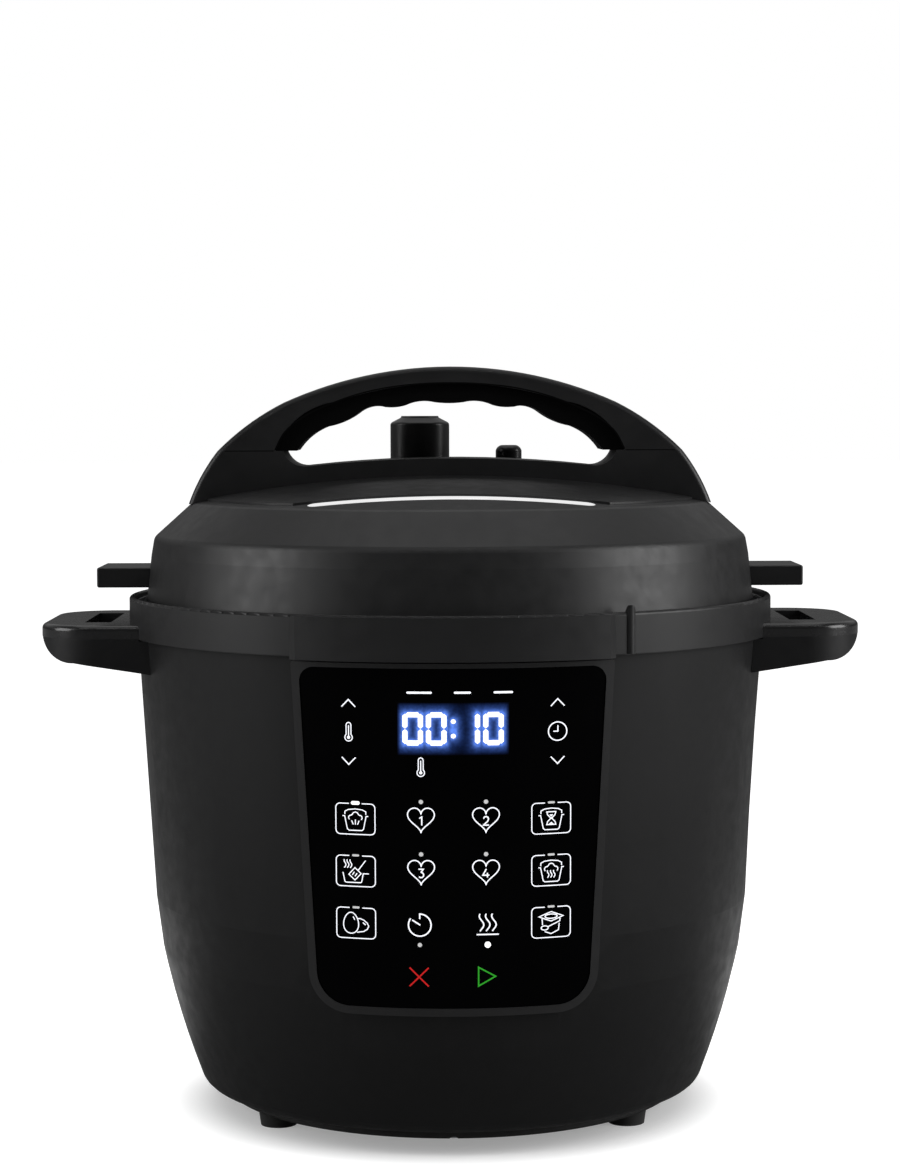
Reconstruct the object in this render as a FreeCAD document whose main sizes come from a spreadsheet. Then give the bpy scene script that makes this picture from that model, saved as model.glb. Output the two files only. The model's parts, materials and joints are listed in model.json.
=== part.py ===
import FreeCAD, Part
import math
import os

import Sketcher

# Electric pressure cooker with a turn-to-lock lid, nominal 6 litres.
# Millimetres, +Z up, control panel facing -Y, origin on the table under the pot's vertical axis.

SIZES = {
    # housing: tapered plastic shell
    "housing_bottom": 9.5,
    "housing_top": 193.0,
    "housing_top_radius": 128.0,
    "waist_height": 77.5,
    "waist_radius": 121.0,
    "waist_round": 150.0,
    "housing_foot_radius": 102.2,
    "housing_lip_radius": 90.0,
    "lower_wall_bend": 330.0,
    "wall": 2.5,
    "foot_edge_round": 5.5,
    # collar round the top of the housing
    "collar_top": 209.2,
    "collar_radius": 131.4,
    "collar_wall": 2.6,
    "collar_floor": 2.0,
    "collar_hole_radius": 120.5,
    "collar_gap": 0.7,
    "collar_edge_round": 1.2,
    "badge_thickness": 2.0,
    "badge_top_half": 60.0,
    "badge_bottom_half": 61.4,
    "badge_face_half": 58.4,
    "badge_drop": 0.6,
    "badge_bevel_turn": 57.5,
    "mark_angle": 30.3,
    "mark_half": 1.95,
    "mark_depth": 1.3,
    "mark_rise": 2.6,
    # control panel
    "glass_top": 189.8,
    "glass_bottom": 62.0,
    "glass_top_radius": 129.0,
    "glass_bottom_radius": 120.4,
    "glass_top_half": 57.3,
    "glass_bottom_half": 50.7,
    "glass_thickness": 1.8,
    "glass_top_corner": 5.5,
    "glass_bottom_corner": 12.6,
    "bezel_border": 3.0,
    "bezel_top_border": 1.8,
    "bezel_top_corner": 1.2,
    "bezel_proud": 0.5,
    "bezel_depth": 3.2,
    "window_half": 44.0,
    "window_bottom": 74.0,
    "window_top": 182.0,
    # side handles
    "handle_tip": 165.0,
    "handle_half_width": 44.0,
    "handle_corner": 23.0,
    "handle_top": 199.3,
    "handle_seam": 194.0,
    "handle_root_bottom": 179.4,
    "handle_slot_inner": 137.0,
    "handle_slot_outer": 147.5,
    "handle_slot_half": 25.0,
    # base plate and feet
    "base_bottom": 5.5,
    "base_radius": 94.0,
    "base_thickness": 2.5,
    "foot_radius": 8.0,
    "foot_x": 69.4,
    "foot_y": 48.6,
    # outer pot: the steel liner that carries the bayonet ring
    "liner_radius": 111.3,
    "liner_wall": 0.8,
    "liner_floor": 41.2,
    "liner_hole_radius": 40.0,
    "liner_lip_radius": 128.5,
    "liner_lip_top": 207.0,
    "ring_inner_radius": 116.4,
    "ring_outer_radius": 117.6,
    "ring_top": 205.0,
    "ring_tab_radius": 118.8,
    "ring_tab_height": 2.2,
    # heater and sensor
    "plate_bottom": 44.0,
    "plate_top": 50.0,
    "plate_radius": 88.0,
    "plate_hole_radius": 13.0,
    "element_circle": 62.0,
    "element_radius": 3.2,
    "sensor_radius": 12.0,
    "stem_radius": 4.4,
    # inner pot
    "pot_radius": 108.0,
    "pot_wall": 1.0,
    "pot_base": 2.6,
    "pot_corner": 25.0,
    "pot_rim": 203.2,
    "pot_rim_radius": 114.6,
    # lid
    "lid_apex": 257.4,
    "dome_radius": 536.0,
    "lid_edge_radius": 105.5,
    "shoulder_radius": 121.0,
    "shoulder_height": 233.0,
    "lid_wall": 2.5,
    "lid_bottom": 207.5,
    "lid_bottom_radius": 124.2,
    "lid_side_radius": 122.3,
    "lid_side_height": 225.7,
    "lid_edge_round": 3.0,
    "lid_rim_round": 0.8,
    "shoulder_round": 4.0,
    "strip_y": -83.0,
    "strip_half": 55.0,
    "strip_width": 7.0,
    "fin_tip": 143.5,
    "fin_half": 17.0,
    "fin_bottom": 212.7,
    "fin_top": 220.9,
    "fin_round": 0.9,
    # pressure lid: the steel lid under the cover
    "steel_lid_top": 237.0,
    "steel_lid_flat": 86.0,
    "steel_lid_flange": 215.5,
    "steel_lid_flange_start": 109.0,
    "steel_lid_radius": 121.2,
    "steel_lid_bottom": 197.4,
    "steel_lid_wall": 0.9,
    "lid_tab_radius": 119.2,
    # lid handle
    "arch_top": 301.8,
    "arch_shoulder_x": 67.0,
    "arch_shoulder_z": 287.5,
    "arch_crown_bend": 164.0,
    "arch_leg_bend": 102.0,
    "parting_height": 268.0,
    "parting_x": 94.0,
    "arch_foot_x": 106.0,
    "arch_foot_z": 246.2,
    "arch_half_depth": 20.0,
    "insert_half_depth": 17.5,
    "arch_plate": 6.6,
    "opening_half": 70.6,
    "bar_top": 264.6,
    "base_disc_radius": 100.0,
    "base_disc_thickness": 0.8,
    # valves and the quick release on the lid
    "valve_x": -12.3,
    "valve_y": 38.0,
    "valve_radius": 12.5,
    "valve_top": 281.8,
    "pipe_radius": 4.5,
    "pipe_top": 266.0,
    "button_x": 25.3,
    "button_y": 34.0,
    "button_radius": 5.5,
    "button_top": 269.4,
    "float_x": 26.0,
    "float_y": 60.0,
    "lever_x": 3.0,
    "lever_y": 36.0,
    "lever_height": 243.75,
    "lock_circle": 116.6,
}

NODES = {}
RING_TABS = 8
FOOT_BEND = 75.0
LID_SCREW_PLACES = [(x, y) for x in (-84.0, 84.0) for y in (-9.0, 9.0)]

doc = FreeCAD.newDocument("PressureCooker")


class Dim:
    """A size as its number and as the spreadsheet expression that gives it."""

    def __init__(self, value, text):
        self.value = value
        self.text = text

    def __add__(self, other):
        other = as_dim(other)
        return Dim(self.value + other.value, f"({self.text} + {other.text})")

    def __sub__(self, other):
        other = as_dim(other)
        return Dim(self.value - other.value, f"({self.text} - {other.text})")

    def __mul__(self, other):
        other = as_dim(other)
        return Dim(self.value * other.value, f"({self.text} * {other.text})")

    def __truediv__(self, other):
        other = as_dim(other)
        return Dim(self.value / other.value, f"({self.text} / {other.text})")

    def __rsub__(self, other):
        return as_dim(other) - self

    def __neg__(self):
        return as_dim(0) - self

    __radd__ = __add__
    __rmul__ = __mul__


def as_dim(size):
    if isinstance(size, Dim):
        return size
    return Dim(float(size), f"{float(size):.6f}")


def root(size):
    return Dim(math.sqrt(size.value), f"sqrt({size.text})")


class Sheet:
    """The driving dimensions, one spreadsheet cell each, read as attributes."""

    def __init__(self, sizes):
        cells = doc.addObject("Spreadsheet::Sheet", "Sizes")
        for row, (name, value) in enumerate(sizes.items(), 1):
            cells.set(f"A{row}", name)
            cells.set(f"B{row}", str(value))
            cells.setAlias(f"B{row}", name)
            setattr(self, name, Dim(value, f"Sizes.{name}"))


# --- drawing helpers -------------------------------------------------------------------------


def bind(thing, setting, size):
    thing.setExpression(setting, as_dim(size).text)


def new_sketch(body, role, offset=None):
    sketch = body.newObject("Sketcher::SketchObject", body.Name + "_sketch")
    plane = [item for item in body.Origin.OriginFeatures if item.Role == role][0]
    sketch.AttachmentSupport = [(plane, "")]
    sketch.MapMode = "FlatFace"
    if offset is not None:
        bind(sketch, "AttachmentOffset.Base.z", offset)
    return sketch


def arc_between(start, end, bend):
    """Minor arc between two points; a positive bend turns anticlockwise on the way."""
    chord = end - start
    middle = (start + end) * 0.5
    reach = math.sqrt(max(bend * bend - chord.Length**2 / 4, 0))
    side = FreeCAD.Vector(-chord.y, chord.x, 0).normalize() * math.copysign(reach, bend)
    centre = middle + side
    first, last = (start, end) if bend > 0 else (end, start)
    circle = Part.Circle(centre, FreeCAD.Vector(0, 0, 1), abs(bend))
    angles = [math.atan2(p.y - centre.y, p.x - centre.x) for p in (first, last)]
    return Part.ArcOfCircle(circle, angles[0], angles[1])


def draw_outline(sketch, points):
    """A closed outline through (across, up) points, anticlockwise. A third value in a point is
    the radius of the arc that leads to the next one, negative where it turns clockwise."""
    corners = [[as_dim(value) for value in point] for point in points]
    count = len(corners)
    ends = []
    for index, corner in enumerate(corners):
        following = corners[(index + 1) % count]
        start = FreeCAD.Vector(corner[0].value, corner[1].value, 0)
        end = FreeCAD.Vector(following[0].value, following[1].value, 0)
        if len(corner) == 3:
            sketch.addGeometry(arc_between(start, end, corner[2].value))
            ends.append((1, 2) if corner[2].value > 0 else (2, 1))
        else:
            sketch.addGeometry(Part.LineSegment(start, end))
            ends.append((1, 2))
    for index, corner in enumerate(corners):
        following = (index + 1) % count
        sketch.addConstraint(
            Sketcher.Constraint("Coincident", index, ends[index][1], following, ends[following][0])
        )
    for index, corner in enumerate(corners):
        for kind, size in zip(("DistanceX", "DistanceY"), corner):
            rule = Sketcher.Constraint(kind, -1, 1, index, ends[index][0], size.value)
            bind(sketch, f"Constraints[{sketch.addConstraint(rule)}]", size)
        if len(corner) == 3:
            bend = corner[2] if corner[2].value > 0 else -corner[2]
            rule = Sketcher.Constraint("Radius", index, bend.value)
            bind(sketch, f"Constraints[{sketch.addConstraint(rule)}]", bend)


def revolved(name, points):
    """A PartDesign body turned about the vertical axis from a (radius, height) outline."""
    body = doc.addObject("PartDesign::Body", name)
    sketch = new_sketch(body, "XZ_Plane")
    draw_outline(sketch, points)
    turn = body.newObject("PartDesign::Revolution", name + "_turn")
    turn.Profile = sketch
    turn.ReferenceAxis = (sketch, ["V_Axis"])
    turn.Angle = 360
    sketch.Visibility = False
    return body


def padded(name, role, points, length, offset=None, midplane=False):
    """A PartDesign body pushed out of an outline on one of its own origin planes."""
    body = doc.addObject("PartDesign::Body", name)
    sketch = new_sketch(body, role, offset)
    draw_outline(sketch, points)
    pad = body.newObject("PartDesign::Pad", name + "_pad")
    pad.Profile = sketch
    pad.SideType = "Symmetric" if midplane else "One side"
    bind(pad, "Length", length)
    return body


def round_edges(body, radius, chosen):
    """Rounds the body's edges for which chosen(edge) is true."""
    doc.recompute()
    last = body.Tip
    names = [f"Edge{i}" for i, edge in enumerate(last.Shape.Edges, 1) if chosen(edge)]
    if not names:
        raise ValueError(f"{body.Name}: no edge to round")
    fillet = body.newObject("PartDesign::Fillet", f"{last.Name}_round")
    fillet.Base = (last, names)
    bind(fillet, "Radius", radius)
    body.Tip = fillet


def repeat_round(body, feature, count):
    """Repeats a feature evenly about the vertical axis."""
    axis = [item for item in body.Origin.OriginFeatures if item.Role == "Z_Axis"][0]
    pattern = body.newObject("PartDesign::PolarPattern", feature.Name + "_turns")
    pattern.Originals = [feature]
    pattern.Axis = (axis, [""])
    pattern.Angle = 360
    pattern.Occurrences = count
    body.Tip = pattern


def curve_of(edge):
    """The edge's curve, or nothing for the point edge at a pole."""
    return None if edge.Degenerated else edge.Curve


def ring_edge(*places):
    """Picks the whole circles about the vertical axis at these (radius, height) places."""

    def chosen(edge):
        if not isinstance(curve_of(edge), Part.Circle):
            return False
        found = (edge.Curve.Radius, edge.Curve.Center.z)
        return any(
            abs(found[0] - as_dim(radius).value) < 0.05 and abs(found[1] - as_dim(height).value) < 0.05
            for radius, height in places
        )

    return chosen


def edge_along(axis, low=None, high=None):
    """Picks straight edges along one axis whose middle height lies between low and high."""

    def chosen(edge):
        if not isinstance(curve_of(edge), Part.Line):
            return False
        middle = edge.CenterOfMass.z
        along = abs(getattr(edge.Curve.Direction, axis)) > 0.999
        return along and (low is None or middle > low) and (high is None or middle < high)

    return chosen


AXIS_TURNS = {
    "z": FreeCAD.Rotation(),
    "y": FreeCAD.Rotation(FreeCAD.Vector(1, 0, 0), -90),
    "x": FreeCAD.Rotation(FreeCAD.Vector(0, 1, 0), 90),
}


def place(thing, at, axis="z"):
    thing.Placement = FreeCAD.Placement(FreeCAD.Vector(), AXIS_TURNS[axis])
    for letter, size in zip("xyz", at):
        bind(thing, f"Placement.Base.{letter}", size)
    return thing


def cylinder(name, radius, height, at=(0, 0, 0), axis="z"):
    thing = doc.addObject("Part::Cylinder", name)
    bind(thing, "Radius", radius)
    bind(thing, "Height", height)
    return place(thing, at, axis)


def cone(name, low_radius, high_radius, height, at=(0, 0, 0)):
    thing = doc.addObject("Part::Cone", name)
    bind(thing, "Radius1", low_radius)
    bind(thing, "Radius2", high_radius)
    bind(thing, "Height", height)
    return place(thing, at)


def ball(name, radius, top):
    thing = doc.addObject("Part::Sphere", name)
    bind(thing, "Radius", radius)
    return place(thing, (0, 0, top - radius))


def torus(name, circle, radius, height):
    thing = doc.addObject("Part::Torus", name)
    bind(thing, "Radius1", circle)
    bind(thing, "Radius2", radius)
    return place(thing, (0, 0, height))


def box(name, low, high):
    """A box between its lowest and highest corners."""
    thing = doc.addObject("Part::Box", name)
    for setting, start, end in zip(("Length", "Width", "Height"), low, high):
        bind(thing, setting, as_dim(end) - start)
    return place(thing, low)


def turned_box(name, low, high, turn, centre=(0, 0)):
    """A box between two corners, turned about an upright axis through the centre."""
    thing = box(name, low, high)
    spin = FreeCAD.Rotation(FreeCAD.Vector(0, 0, 1), turn)
    corner = spin.multVec(FreeCAD.Vector(as_dim(low[0]).value, as_dim(low[1]).value, 0))
    thing.Placement = FreeCAD.Placement(FreeCAD.Vector(), spin)
    spot = (as_dim(centre[0]) + corner.x, as_dim(centre[1]) + corner.y, low[2])
    for letter, size in zip("xyz", spot):
        bind(thing, f"Placement.Base.{letter}", size)
    return thing


def join(name, pieces):
    thing = doc.addObject("Part::MultiFuse", name)
    thing.Shapes = pieces
    return thing


def group(name, pieces):
    """Several separate solids in one node."""
    thing = doc.addObject("Part::Compound", name)
    thing.Links = pieces
    return thing


def cut(name, base, *tools):
    thing = doc.addObject("Part::Cut", name)
    thing.Base = base
    thing.Tool = tools[0] if len(tools) == 1 else join(name + "_tools", list(tools))
    return thing


def overlap(name, first, second):
    thing = doc.addObject("Part::Common", name)
    thing.Base = first
    thing.Tool = second
    return thing


def mirrored(name, source):
    thing = doc.addObject("Part::Mirroring", name)
    thing.Source = source
    thing.Normal = FreeCAD.Vector(1, 0, 0)
    return thing


def node(name, thing):
    thing.Label = name
    NODES[name] = thing
    return thing


def tube(name, points, radius):
    """A round wire through points: straight runs joined by tangent arcs at each corner."""
    points = [FreeCAD.Vector(*point) for point in points]
    edges = []
    start = points[0]
    for before, corner, after in zip(points, points[1:], points[2:]):
        inward = (before - corner).normalize()
        outward = (after - corner).normalize()
        half_turn = (math.pi - inward.getAngle(outward)) / 2
        shorter = min((before - corner).Length, (after - corner).Length)
        trim = 0.45 * shorter
        bend = trim / math.tan(half_turn)
        middle = (inward + outward).normalize()
        apex = corner + middle * (bend / math.cos(half_turn) - bend)
        leave = corner + inward * trim
        meet = corner + outward * trim
        edges.append(Part.LineSegment(start, leave).toShape())
        edges.append(Part.Arc(leave, apex, meet).toShape())
        start = meet
    edges.append(Part.LineSegment(start, points[-1]).toShape())
    path = Part.Wire(edges)
    direction = points[1] - points[0]
    ring = Part.Wire(Part.Circle(points[0], direction, radius).toShape())
    thing = doc.addObject("Part::Feature", name)
    thing.Shape = path.makePipeShell([ring], True, True)
    return thing


def coil(name, radius, wire, low, high, turns, at=(0, 0)):
    """A coil spring as one helical sweep."""
    body = doc.addObject("PartDesign::Body", name)
    sketch = new_sketch(body, "XZ_Plane")
    sketch.addGeometry(Part.Circle(FreeCAD.Vector(radius, 0, 0), FreeCAD.Vector(0, 0, 1), wire))
    for kind, size in (("DistanceX", radius), ("DistanceY", 0)):
        sketch.addConstraint(Sketcher.Constraint(kind, -1, 1, 0, 3, size))
    sketch.addConstraint(Sketcher.Constraint("Radius", 0, wire))
    helix = body.newObject("PartDesign::AdditiveHelix", name + "_helix")
    helix.Profile = sketch
    helix.ReferenceAxis = (sketch, ["V_Axis"])
    helix.Mode = 0
    helix.Pitch = (high - low - 2 * wire) / turns
    helix.Height = high - low - 2 * wire
    body.Placement.Base = FreeCAD.Vector(at[0], at[1], low + wire)
    return body


# --- cooker base -----------------------------------------------------------------------------


def make_panel(d):
    """Curved glass, its bezel, and the boards behind it."""
    slope = (d.glass_top_radius - d.glass_bottom_radius) / (d.glass_top - d.glass_bottom)
    margin = 6

    def taper(name, offset):
        low = d.glass_bottom_radius - slope * margin + offset
        high = d.glass_top_radius + slope * margin + offset
        height = d.glass_top - d.glass_bottom + 2 * margin
        return cone(name, low, high, height, (0, 0, d.glass_bottom - margin))

    def outline(name, border, top_border, top_corner):
        top = d.glass_top + top_border
        bottom = d.glass_bottom - border
        low, high = d.glass_bottom_half + border, d.glass_top_half + border
        points = [(-low, bottom), (low, bottom), (high, top), (-high, top)]
        body = padded(name, "XZ_Plane", points, d.collar_radius + margin)
        middle = (SIZES["glass_top"] + SIZES["glass_bottom"]) / 2
        round_edges(body, top_corner, edge_along("y", low=middle))
        round_edges(body, d.glass_bottom_corner + border, edge_along("y", high=middle))
        return body

    glass_skin = cut("glass_skin", taper("glass_face", 0), taper("glass_back", -d.glass_thickness))
    glass_shape = outline("glass_outline", 0, 0, d.glass_top_corner)
    node("control_glass", overlap("glass_plate", glass_skin, glass_shape))

    bezel_skin = cut(
        "bezel_skin", taper("bezel_face", d.bezel_proud), taper("bezel_back", -d.bezel_depth)
    )
    bezel_shape = outline(
        "bezel_outline", d.bezel_border, d.bezel_top_border, d.bezel_top_corner
    )
    bezel_plate = overlap("bezel_plate", bezel_skin, bezel_shape)
    node("panel_bezel", cut("bezel_ring", bezel_plate, glass_shape))

    board_back, board_front = -112.2, -113.6
    board = box("touch_board_plate", (-36, board_front, 76), (36, board_back, 180))
    connector = box("touch_board_socket", (-6, board_front - 4, 92), (6, board_front, 100))
    node("touch_board", join("touch_board_parts", [board, connector]))
    node("display_module", box("display_block", (-20, -119.6, 157.5), (22, board_front, 178)))


def make_housing(d):
    outside = [
        (d.housing_lip_radius, d.housing_bottom),
        (d.housing_foot_radius, d.housing_bottom, d.lower_wall_bend),
        (d.waist_radius, d.waist_height),
        (d.housing_top_radius, d.housing_top),
    ]
    inside = [
        (d.housing_top_radius - d.wall, d.housing_top),
        (d.waist_radius - d.wall, d.waist_height, -(d.lower_wall_bend - d.wall)),
        (d.housing_foot_radius - d.wall, d.housing_bottom + d.wall),
        (d.housing_lip_radius, d.housing_bottom + d.wall),
    ]
    shell = revolved("housing_wall", outside + inside)
    waist = ring_edge((d.waist_radius, d.waist_height), (d.waist_radius - d.wall, d.waist_height))
    round_edges(shell, d.waist_round, waist)
    round_edges(shell, d.foot_edge_round, ring_edge((d.housing_foot_radius, d.housing_bottom)))
    window = box(
        "panel_window",
        (-d.window_half, -d.collar_radius, d.window_bottom),
        (d.window_half, -100, d.window_top),
    )
    inlet_hole = box("inlet_hole", (-16, 80, 18), (16, d.collar_radius, 40))
    tools = [window, inlet_hole, NODES["control_glass"], NODES["panel_bezel"]]
    node("housing_shell", cut("housing_cut", shell, *tools))


def make_collar(d):
    inner = d.collar_radius - d.collar_wall
    floor_top = d.housing_top + d.collar_floor
    wall_bottom = d.housing_top + d.collar_gap
    wall = revolved(
        "collar_wall_ring",
        [
            (d.collar_hole_radius, d.housing_top),
            (d.housing_top_radius, d.housing_top),
            (d.housing_top_radius, wall_bottom),
            (d.collar_radius, wall_bottom),
            (d.collar_radius, d.collar_top),
            (inner, d.collar_top),
            (inner, floor_top),
            (d.collar_hole_radius, floor_top),
        ],
    )
    top_edges = ring_edge((d.collar_radius, d.collar_top), (inner, d.collar_top))
    round_edges(wall, d.collar_edge_round, top_edges)
    node("upper_collar", join("collar_with_mark", [wall, make_open_mark(d, wall_bottom)]))
    make_badge(d)


def make_open_mark(d, bottom):
    """The half-round ridge that shows where the lid's mark stands when it is open."""
    half, root_depth = d.mark_half, 1.0
    swell = (half * half + d.mark_depth * d.mark_depth) / (d.mark_depth * 2)
    peak = d.collar_top + d.mark_rise
    shoulder = d.collar_top - 0.4
    plan = padded(
        "mark_plan",
        "XY_Plane",
        [(-half, 0, swell), (half, 0), (half, root_depth), (-half, root_depth)],
        peak - bottom,
        offset=bottom,
    )
    front = padded(
        "mark_front",
        "XZ_Plane",
        [
            (-half, bottom),
            (half, bottom),
            (half, shoulder, 5),
            (0.5, peak - 0.1),
            (-0.5, peak - 0.1, 5),
            (-half, shoulder),
        ],
        d.mark_depth * 2 + 2,
        midplane=True,
    )
    mark = overlap("open_mark", plan, front)
    turn = math.radians(SIZES["mark_angle"])
    reach = SIZES["collar_radius"] - 0.1
    mark.Placement = FreeCAD.Placement(
        FreeCAD.Vector(reach * math.sin(turn), -reach * math.cos(turn), 0),
        FreeCAD.Rotation(FreeCAD.Vector(0, 0, 1), SIZES["mark_angle"]),
    )
    return mark


def make_badge(d):
    """The separate front segment of the collar, with bevelled ends."""
    low, high = d.badge_bottom_half, d.badge_top_half
    bottom, top = d.housing_top - d.badge_drop, d.collar_top - d.badge_drop
    outline = padded(
        "badge_outline",
        "XZ_Plane",
        [(-low, bottom), (low, bottom), (high, top), (-high, top)],
        d.collar_radius + 10,
    )
    height = top - bottom
    skin = cut(
        "badge_skin",
        cylinder("badge_face", d.collar_radius + d.badge_thickness, height, (0, 0, bottom)),
        cylinder("badge_back", d.collar_radius, height, (0, 0, bottom)),
    )
    face = d.badge_face_half
    front_radius = d.collar_radius + d.badge_thickness
    front = root(front_radius * front_radius - face * face)
    right_end = turned_box(
        "badge_right_end",
        (-5, -8, bottom - 5),
        (12, 0, top + 5),
        SIZES["badge_bevel_turn"],
        (face, -front),
    )
    ends = [right_end, mirrored("badge_left_end", right_end)]
    node("badge_plate", cut("badge_bevelled", overlap("badge_shape", skin, outline), *ends))


def make_side_handles(d):
    """Two-part carrying handles with a slot that stores the upright lid by its fin."""
    envelope = join(
        "handle_root_tools",
        [
            cone(
                "housing_taper",
                d.waist_radius,
                d.housing_top_radius,
                d.housing_top - d.waist_height,
                (0, 0, d.waist_height),
            ),
            cylinder("collar_core", d.collar_radius, 20, (0, 0, d.housing_top)),
        ],
    )
    root = 110
    plan = [
        (root, -d.handle_half_width),
        (d.handle_tip, -d.handle_half_width),
        (d.handle_tip, d.handle_half_width),
        (root, d.handle_half_width),
    ]

    def outline(name, bottom, top):
        body = padded(name, "XY_Plane", plan, top - bottom, offset=bottom)
        tip = SIZES["handle_tip"]

        def outer_corner(edge):
            return edge_along("z")(edge) and edge.CenterOfMass.x > tip - 1

        round_edges(body, d.handle_corner, outer_corner)
        return body

    slot = box(
        "handle_slot",
        (d.handle_slot_inner, -d.handle_slot_half, d.handle_root_bottom - 5),
        (d.handle_slot_outer, d.handle_slot_half, d.handle_top + 5),
    )
    screws = []
    for side in (-1, 1):
        head = cylinder("handle_screw_head", 3.4, 2.4, (153, side * 12, 185.6))
        shank = cylinder("handle_screw_shank", 1.6, 10, (153, side * 12, 188))
        screws.append(join("handle_screw", [head, shank]))
    right_screws = group("right_handle_screws", screws)
    screw_wells = [
        cylinder("handle_screw_well", 3.6, 8, (153, side * 12, 177.6)) for side in (-1, 1)
    ]

    cover = outline("handle_cover_block", d.handle_seam, d.handle_top)

    def top_edge(edge):
        on_top = abs(edge.BoundBox.ZMin - SIZES["handle_top"]) < 0.01
        return on_top and edge.CenterOfMass.x > root + 1

    round_edges(cover, 2.2, top_edge)
    right_cover = cut("right_cover_cut", cover, envelope, slot, right_screws)
    node("right_handle_cover", right_cover)

    profile = padded(
        "handle_grip_side",
        "XZ_Plane",
        [
            (root, d.handle_root_bottom - 1.2),
            (150, 184.3, 14),
            (d.handle_tip - 0.7, d.handle_seam),
            (root, d.handle_seam),
        ],
        2 * d.handle_half_width + 4,
        midplane=True,
    )
    plan_block = outline("handle_grip_plan", d.handle_root_bottom - 5, d.handle_seam)
    grip = overlap("handle_grip_block", profile, plan_block)
    right_grip = cut("right_grip_cut", grip, envelope, slot, right_screws, *screw_wells)
    node("right_handle_grip", right_grip)

    node("left_handle_cover", mirrored("left_cover", right_cover))
    node("left_handle_grip", mirrored("left_grip", right_grip))
    left_screws = mirrored("left_handle_screws", right_screws)
    node("handle_screws", group("handle_screw_set", [right_screws, left_screws]))


def make_liner(d):
    """The bayonet ring that the lid locks under, and the steel outer pot, still without holes."""
    floor_top = d.liner_floor + d.liner_wall
    flange_bottom = d.housing_top + d.collar_floor
    flange_top = flange_bottom + 1
    inner = d.liner_radius - d.liner_wall
    liner = revolved(
        "liner_wall_shape",
        [
            (d.liner_hole_radius, d.liner_floor),
            (98.6, d.liner_floor),
            (d.liner_radius, 64),
            (d.liner_radius, 187),
            (117, flange_bottom),
            (d.liner_lip_radius, flange_bottom),
            (d.liner_lip_radius, d.liner_lip_top),
            (d.liner_lip_radius - d.liner_wall, d.liner_lip_top),
            (d.liner_lip_radius - d.liner_wall, flange_top),
            (116.4, flange_top),
            (inner, 187.6),
            (inner, 64.3),
            (98.1, floor_top),
            (d.liner_hole_radius, floor_top),
        ],
    )

    ring = revolved(
        "bayonet_ring_shape",
        [
            (d.ring_inner_radius, flange_top),
            (d.ring_outer_radius, flange_top),
            (d.ring_outer_radius, d.ring_top),
            (d.ring_inner_radius, d.ring_top),
        ],
    )
    add_tabs(ring, d.ring_outer_radius - 0.4, d.ring_tab_radius, d.ring_top - d.ring_tab_height,
             d.ring_tab_height)
    node("bayonet_ring", ring)
    return liner


def add_tabs(body, inner, outer, bottom, height):
    """Bayonet tabs, evenly spaced round a ring."""
    half = math.radians(9)
    across, along = math.sin(half), math.cos(half)
    sketch = new_sketch(body, "XY_Plane", bottom)
    draw_outline(
        sketch,
        [
            (inner * along, -inner * across),
            (outer * along, -outer * across, outer),
            (outer * along, outer * across),
            (inner * along, inner * across, -inner),
        ],
    )
    tab = body.newObject("PartDesign::Pad", body.Name + "_tab")
    tab.Profile = sketch
    bind(tab, "Length", height)
    body.Tip = tab
    repeat_round(body, tab, RING_TABS)


def make_heater(d, liner):
    """Heating plate with its element, the sprung sensor under the pot, fuse and switch."""
    plate = revolved(
        "plate_disc",
        [
            (d.plate_hole_radius, d.plate_bottom),
            (d.plate_radius, d.plate_bottom),
            (d.plate_radius, d.plate_top - 1.5),
            (d.plate_radius - 2, d.plate_top),
            (d.plate_hole_radius, d.plate_top),
        ],
    )
    element_height = d.plate_bottom + 1.8
    ring = torus("element_ring", d.element_circle, d.element_radius, element_height)
    ends = [
        cylinder("element_end", 2.4, 12.4, (side * d.element_circle, 0, d.plate_bottom - 12.4))
        for side in (-1, 1)
    ]
    node("heating_element", join("element_shape", [ring] + ends))
    node("heating_plate", cut("plate_shape", plate, NODES["heating_element"]))

    floor_top = d.liner_floor + d.liner_wall
    spots = [(78 * math.cos(turn), 78 * math.sin(turn)) for turn in (0.5, 2.6, 4.7)]
    posts = [
        cylinder("plate_post", 4, d.plate_bottom - floor_top, (x, y, floor_top)) for x, y in spots
    ]
    node("plate_standoffs", group("plate_posts", posts))

    end_holes = [
        cylinder("element_end_hole", 4.5, 6, (side * d.element_circle, 0, d.liner_floor - 2))
        for side in (-1, 1)
    ]
    node("outer_pot", cut("liner_with_holes", liner, *end_holes))

    strip_top = d.liner_floor
    strip = box("cradle_strip", (-46, -9, strip_top - 1.2), (46, 9, strip_top))
    stem_hole = cylinder("cradle_hole", d.stem_radius + 0.4, 10, (0, 0, strip_top - 5))
    node("sensor_cradle", cut("cradle_shape", strip, stem_hole))

    cap_top = d.plate_top - 0.1
    cap = revolved(
        "sensor_shape",
        [
            (0, 30),
            (d.stem_radius, 30),
            (d.stem_radius, cap_top - 3.2),
            (d.sensor_radius, cap_top - 3.2),
            (d.sensor_radius, cap_top - 0.8),
            (d.sensor_radius - 0.8, cap_top),
            (0, cap_top),
        ],
    )
    node("thermal_sensor", cap)
    low, high = SIZES["liner_floor"] + 0.2, SIZES["plate_top"] - 3.5
    node("sensor_spring", coil("sensor_coil", 7.6, 0.6, low, high, 3))

    fuse = cylinder("fuse_tube", 1.9, 18, (-9, 22, d.plate_bottom - 2), axis="x")
    node("thermal_fuse", fuse)
    switch = box("switch_case", (-9, -60, d.liner_floor - 11), (9, -50, d.liner_floor))
    pins = [cylinder("switch_pin", 0.9, 5, (x, -55, d.liner_floor - 16)) for x in (-5, 0, 5)]
    node("pressure_switch", join("switch_shape", [switch] + pins))


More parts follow.
